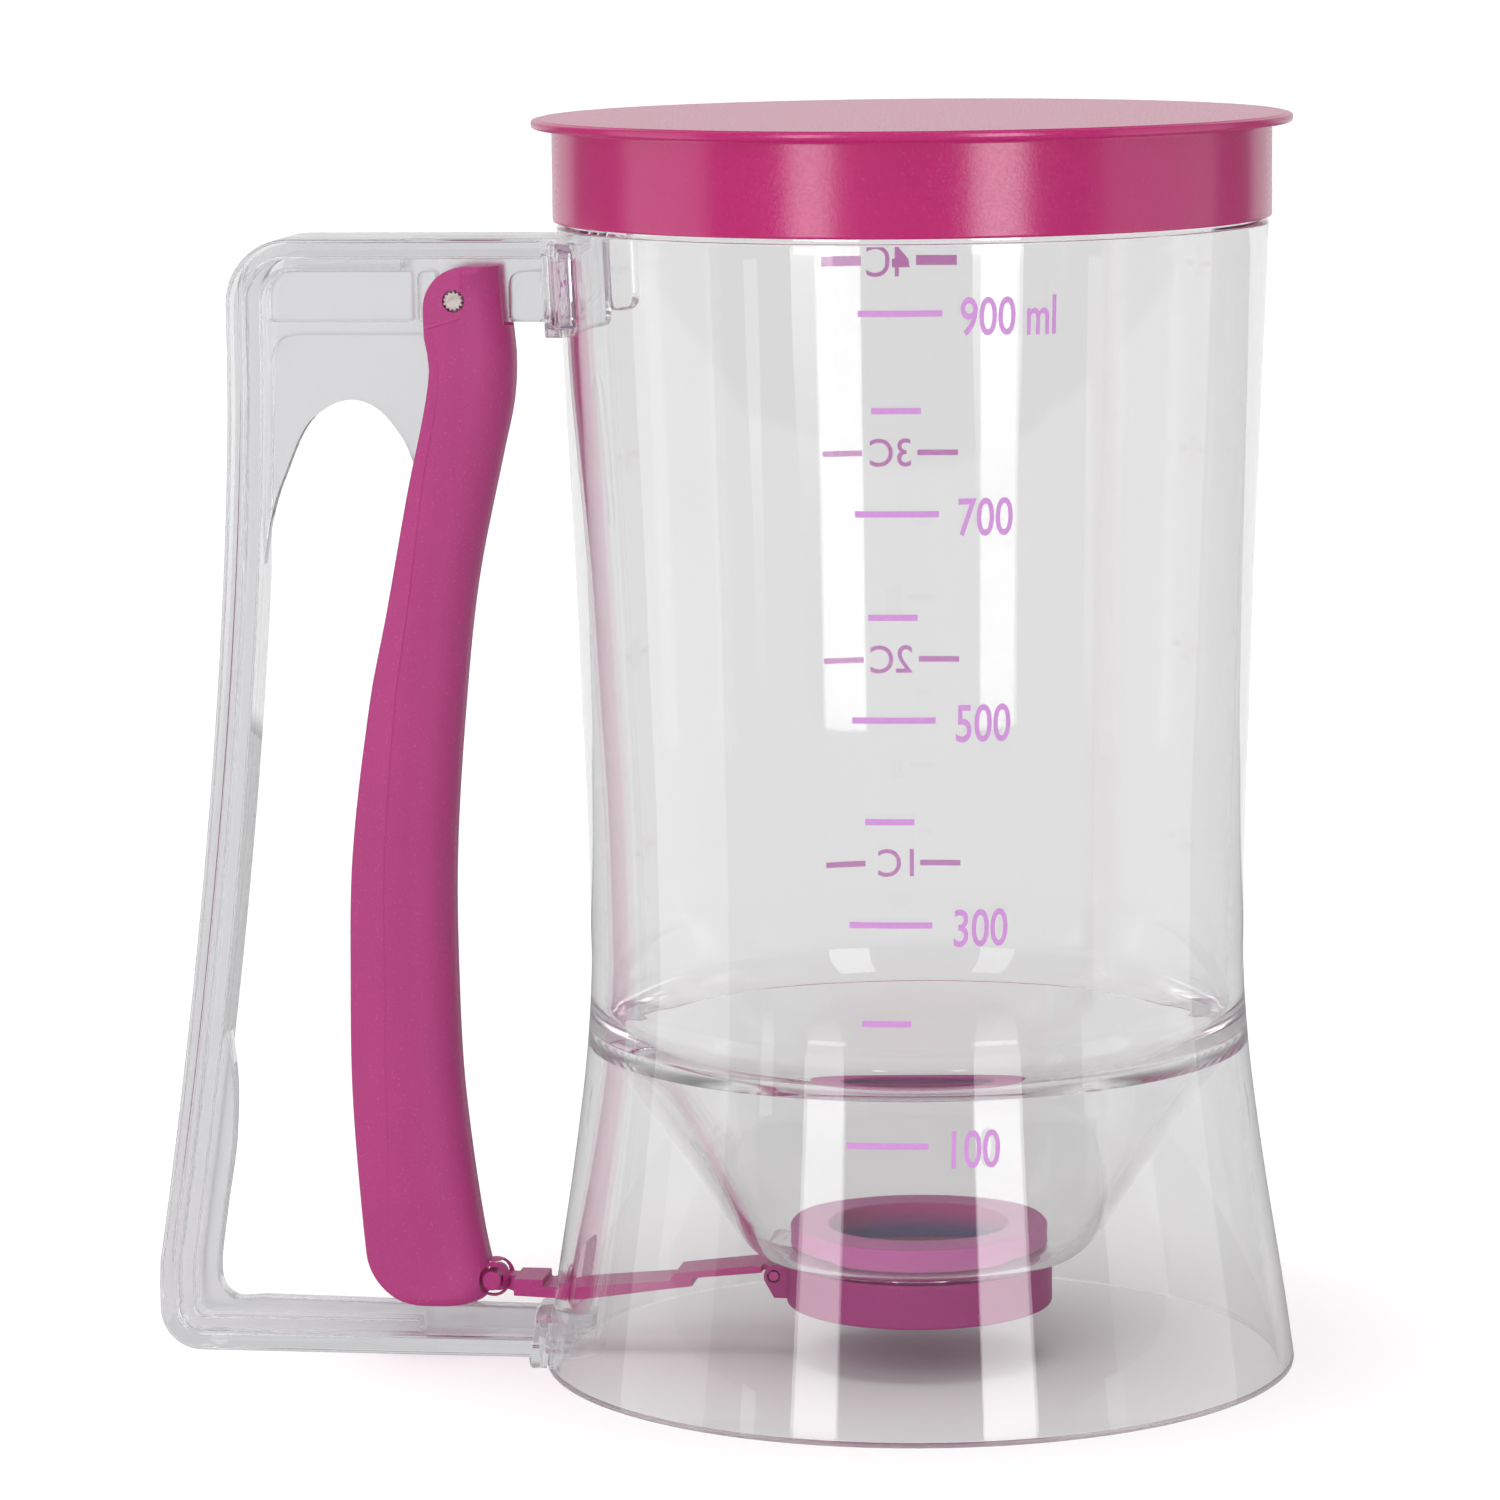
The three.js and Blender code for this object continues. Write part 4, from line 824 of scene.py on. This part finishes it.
NEAR_SIDE, FAR_SIDE = radians(-83.5), radians(96.5)  # where they face, round the tub's axis
INK_DEEP, INK_PROUD = -0.04, 0.05
DASH_THICK = 0.85
ML_MARKS = [("900", 157.2), ("700", 129.7), ("500", 101.1), ("300", 72.4), ("100", 41.5)]
ML_SHORT_MARKS = [143.9, 115.4, 86.9, 58.5]
ML_DROP = 0.5  # the numerals sit a little below their dashes
ML_LEAN = 0.0225  # the column of marks leans along the wall as it climbs
CUP_MARKS = [("4C", 157.5), ("3C", 128.7), ("2C", 97.2), ("1C", 65.9)]


def on_wall(points, side, lean=0.0):
    """Lays (along, height, depth) points of a print on the tub's outer face."""
    laid = []
    for along, height, depth in points:
        radius = body_radius(height) + depth
        angle = side + (along + lean * height) / body_radius(height)
        laid.append((radius * cos(angle), radius * sin(angle), height))
    return laid


def dash(start, end, height):
    """A printed dash as (points, faces), fine enough to follow the wall."""
    row = steps(start, end, max(int(abs(end - start) / 0.7), 3))
    low, high = height - DASH_THICK / 2, height + DASH_THICK / 2
    section = ((INK_DEEP, low), (INK_PROUD, low), (INK_PROUD, high), (INK_DEEP, high))
    points = [(along, z, depth) for along in row for depth, z in section]
    faces = ring_faces(len(row), 4, False) + [(0, 1, 2, 3), tuple(range(len(points) - 4, len(points)))]
    return points, faces


def lettering(words, start, middle, tall, narrow, weight):
    """Printed characters as (points, faces)."""
    curve = bpy.data.curves.new("lettering", "FONT")
    curve.body, curve.resolution_u, curve.offset, curve.extrude = words, 5, weight, 0.5
    shape = placed("lettering", curve)
    mesh = bpy.data.meshes.new_from_object(shape.evaluated_get(bpy.context.evaluated_depsgraph_get()))
    form = bmesh.new()
    form.from_mesh(mesh)
    bmesh.ops.remove_doubles(form, verts=form.verts, dist=1e-5)
    form.verts.index_update()
    low, high = (f(v.co.y for v in form.verts) for f in (min, max))
    left = min(v.co.x for v in form.verts)
    scale = tall / (high - low)
    points = [(start + (v.co.x - left) * scale * narrow, middle + (v.co.y - (low + high) / 2) * scale,
               INK_PROUD if v.co.z > 0 else INK_DEEP) for v in form.verts]
    faces = [tuple(v.index for v in f.verts) for f in form.faces]
    form.free()
    bpy.data.objects.remove(shape)
    return points, faces


def printed(marks, side, lean=0.0):
    points, faces = [], []
    for mark_points, mark_faces in marks:
        faces += [tuple(i + len(points) for i in face) for face in mark_faces]
        points += on_wall(mark_points, side, lean)
    return body(points, faces)


def ml_scale():
    """Long dashes with numerals at the odd hundreds, short dashes between them."""
    marks = []
    top = ML_MARKS[0][1]
    for words, height in ML_MARKS:
        start = 3.0 + (top - height) * 0.006
        marks += [dash(-11.0, 0.5, height),
                  lettering(words, start, height - ML_DROP, tall=5.3, narrow=0.72, weight=0.01)]
    marks.append(lettering("ml", 12.3, top - ML_DROP, tall=5.4, narrow=0.62, weight=0.012))
    marks += [dash(-9.0, -2.2, height) for height in ML_SHORT_MARKS]
    return printed(marks, NEAR_SIDE, ML_LEAN)


def cup_scale():
    """Cup marks on the far wall, readable from behind and seen in reverse through the tub."""
    marks = []
    for words, height in CUP_MARKS:
        marks += [dash(-7.0, -0.6, height), dash(8.1, 14.5, height),
                  lettering(words, 0.4, height, tall=4.3, narrow=0.97, weight=0.006)]
    return printed(marks, FAR_SIDE)


# Pieces on their bodies

finished(clear_tub(), "clear_tub", clear_tub_san, "tub", ["tub_wall", "funnel_floor", "base_skirt"])
outlet_seal = finished(outlet_ring(), "outlet_seal_ring", ring_pp_painted_sheen, "tub")
# The bore's darker material goes on the faces inside the sleeve: painted shade in the outlet
outlet_seal.data.materials.append(shaded_bore_pp)
for face in outlet_seal.data.polygons:
    reach = hypot(face.center.x - AXIS_X * MM, face.center.y)
    face.material_index = int(reach < (OUTLET_RADIUS - SLEEVE) * MM)
handle = finished(clear_handle(), "clear_handle", clear_handle_san, "tub", ["handle_frame"])
# Faces across the web's edge, round the arch, take the dark tint: a painted shade line
handle.data.materials.append(dark_edge_line_san)
for face in handle.data.polygons:
    on_web = all(abs(handle.data.vertices[i].co.y) < (WEB / 2 + 0.02) * MM for i in face.vertices)
    across_web = abs(face.normal.y) < 0.5 and abs(face.center.y) < (WEB / 2 - 0.5) * MM
    up_share = face.center.z / (HANDLE_TOP * MM)
    in_arch = DARK_LINE_LOW_SHARE < up_share < DARK_LINE_HIGH_SHARE
    face.material_index = int(on_web and across_web and in_arch)
finished(trigger_lever(), "trigger_lever", trigger_pp, "trigger", ["trigger"], 12)
finished(pivot_pin(), "knurled_pivot_pin", pin_steel, "trigger", ["pivot_pin"])
finished(return_spring(), "return_spring_wire", spring_steel, "trigger", ["return_spring"])
finished(slide_bar(), "gate_slide_bar", bar_pp, "bar", ["slide_bar"])
finished(gate_cap(), "outlet_gate", gate_pp_painted_shade, "gate", ["gate_cap"])
finished(lid(), "lift_off_lid", lid_pp, "lid", ["lid"])
finished(ml_scale(), "ml_scale_print", near_ink, "tub")
finished(cup_scale(), "cup_scale_print", far_ink, "tub")


# Studio, in metres, with azimuths measured from the camera, to the right

CROWN_LOW, CROWN_HIGH, CROWN_SHARE = 0.02, 0.1, 0.8  # a panel is dimmer above these heights


def panel_light(name, azimuth, width, low, high, distance, strength, fade=0.02, seen_through=False,
                span=(-1.0, 1.0)):
    """Tall softbox, not seen by the camera, that fades out over its lower end. It reaches between
    the span's shares of its half width, and is narrower near its lower end."""
    angle = NEAR_SIDE + radians(azimuth)
    middle = Vector((cos(angle), sin(angle), 0)) * distance + Vector((AXIS_X * MM, 0, 0))
    across = Vector((-sin(angle), cos(angle), 0)) * width / 2
    left, right = span
    narrow, neck = (right - left) * 0.2, -0.03
    outline = [(left + narrow, low), (right - narrow, low), (right, neck), (right, high), (left, high),
               (left, neck)]
    mesh = bpy.data.meshes.new(name)
    corners = [middle + across * side + Vector((0, 0, z)) for side, z in outline]
    mesh.from_pydata(corners, [], [tuple(range(6))])
    panel = placed(name, mesh)
    glow = bpy.data.materials.new(name)
    tree = bare_tree(glow)
    place = add(tree, "TexCoord").outputs["Object"]
    height = add(tree, "SeparateXYZ", {0: place}).outputs["Z"]
    level = add(tree, "MapRange", {"Value": height}, interpolation_type="SMOOTHSTEP",
                From_Min=low, From_Max=low + fade, To_Max=strength)
    crown = add(tree, "MapRange", {"Value": height},
                From_Min=CROWN_LOW, From_Max=CROWN_HIGH, To_Min=1.0, To_Max=CROWN_SHARE)
    both = add(tree, "Math", {0: level, 1: crown}, operation="MULTIPLY")
    light = add(tree, "Emission", {"Strength": both})
    add(tree, "OutputMaterial", {"Surface": light})
    mesh.materials.append(glow)
    panel.visible_camera = panel.visible_diffuse = panel.visible_shadow = False
    panel.visible_transmission = seen_through


def soft_sun(name, azimuth, elevation, spread, strength, shadow=True):
    """Broad even light from far off, whose own disc isn't seen in the plastic."""
    lamp = bpy.data.lights.new(name, "SUN")
    lamp.energy, lamp.angle, lamp.use_shadow = strength, radians(spread), shadow
    thing = placed(name, lamp)
    angle, rise = NEAR_SIDE + radians(azimuth), radians(elevation)
    away = Vector((cos(angle) * cos(rise), sin(angle) * cos(rise), sin(rise)))
    thing.matrix_world = away.to_track_quat("Z", "Y").to_matrix().to_4x4()
    thing.visible_glossy = thing.visible_transmission = False


# Azimuth, width, lowest and highest point, distance, strength, fade, seen through the plastic, span
panel_light("left_softbox", -29, 0.60, -0.13, 1.1, 1.2, 4.2, 0.18, True, (-0.66, 0.3))
panel_light("right_softbox", 27, 0.44, -0.16, 1.1, 1.2, 5.2, 0.25, True, (-0.8, 0.75))
panel_light("left_strip", -52, 0.10, -0.15, 0.02, 1.2, 1.6, 0.1)
panel_light("right_strip", 60, 0.13, -0.17, 0.02, 1.2, 1.4, 0.12)
panel_light("left_reflector", -84, 0.75, -0.9, 1.0, 1.2, 1.3)
panel_light("right_reflector", 86, 1.1, -0.9, 1.0, 1.2, 1.0)
panel_light("pale_backdrop", 180, 5.0, -0.4, 2.6, 2.6, 0.95)
# Azimuth, elevation, spread, strength
soft_sun("key_light", -20, 86, 34, 1.35)
soft_sun("fill_light", -22, 22, 60, 1.35, shadow=False)

# Table: white card that keeps the object's shadow, a hair below the foot
TABLE_HALF, TABLE_HEIGHT = 9, -0.0002
card_mesh = bpy.data.meshes.new("white_table")
corners = [(x * TABLE_HALF, y * TABLE_HALF, TABLE_HEIGHT) for x, y in ((-1, -1), (1, -1), (1, 1), (-1, 1))]
card_mesh.from_pydata(corners, [], [(0, 1, 2, 3)])
white_table = placed("white_table", card_mesh)
table_card, card_tree, card_shader = material("table_card", Roughness=0.9, Specular_IOR_Level=0.0,
                                              Emission_Color=(1, 1, 1, 1))
sight_line = add(card_tree, "LightPath")
# Seen through the plastic the card is greyer: painted shade on the floor inside the skirt
card_tone = add(card_tree, "Mix", {"Factor": sight_line.outputs["Is Transmission Ray"]},
                data_type="RGBA", i6=linear("#fdfdfd"), i7=linear("#e5e5e5"))
card_lift = add(card_tree, "Math", {0: sight_line.outputs["Is Camera Ray"]}, operation="MULTIPLY", i1=0.12)
feed(card_shader, {"Base Color": card_tone.outputs[2], "Emission Strength": card_lift})
card_mesh.materials.append(table_card)
white_table.visible_glossy = False

# Room: white to the camera, dim to reflections and shading. Through the plastic it is pale behind
# the object and dim before it, which draws the edges
world = bpy.data.worlds.new("studio")
bpy.context.scene.world = world
room = bare_tree(world)
ray = add(room, "LightPath")
white, shade, mirrored = (add(room, "Background", Color=(1, 1, 1, 1), Strength=strength)
                          for strength in (1.0, 0.42, 0.28))
generated = add(room, "TexCoord").outputs["Generated"]
towards = add(room, "VectorMath", {0: generated}, operation="DOT_PRODUCT",
              i1=(-cos(NEAR_SIDE), -sin(NEAR_SIDE), 0))
pale = add(room, "MapRange", {"Value": towards.outputs["Value"]}, interpolation_type="SMOOTHSTEP",
           From_Min=-0.2, From_Max=0.75, To_Min=0.22, To_Max=0.72)
through = add(room, "Background", {"Strength": pale}, Color=(1, 1, 1, 1))
seen = shade
for kind, look in (("Is Glossy Ray", mirrored), ("Is Transmission Ray", through), ("Is Camera Ray", white)):
    seen = add(room, "MixShader", {0: ray.outputs[kind], 1: seen, 2: look})
add(room, "OutputWorld", {"Surface": seen})

# Clear plastic lets the lamps' light through
for name in ("clear_tub", "clear_handle"):
    bpy.data.objects[name].visible_shadow = bpy.data.objects[name].visible_diffuse = False

# Camera, in metres and fitted to the photograph's outlines

YAW, PITCH, ROLL = radians(6.5), radians(8.30), radians(0.398)
DISTANCE, EYE_HEIGHT, LENS = 0.8968, 0.2208, 149.64
AIM_LEFT, AIM_UP = 0.02656, 0.00018  # how far the aim is off the line of sight, as shares of it
right = Vector((cos(YAW), sin(YAW), 0))
ahead = Vector((-sin(YAW), cos(YAW), 0))
upright = Vector((0, 0, 1))
sight = ahead * cos(PITCH) - upright * sin(PITCH)
top = ahead * sin(PITCH) + upright * cos(PITCH)
aim = (sight - right * AIM_LEFT + top * AIM_UP).normalized()
across = right * cos(ROLL) - top * sin(ROLL)
across = (across - aim * across.dot(aim)).normalized()
camera = placed("camera", bpy.data.cameras.new("camera"))
camera.data.lens, camera.data.sensor_width = LENS, 36
place = Vector((AXIS_X * MM, 0, 0)) - ahead * DISTANCE + upright * EYE_HEIGHT
turn = Matrix((across, across.cross(-aim) * -1, -aim)).transposed().to_4x4()
camera.matrix_world = Matrix.Translation(place) @ turn
bpy.context.scene.camera = camera

scene = bpy.context.scene
scene.view_settings.view_transform = "Standard"
# Light runs along inside the clear walls, so its paths have to be long
scene.cycles.max_bounces = scene.cycles.transmission_bounces = scene.cycles.glossy_bounces = 96
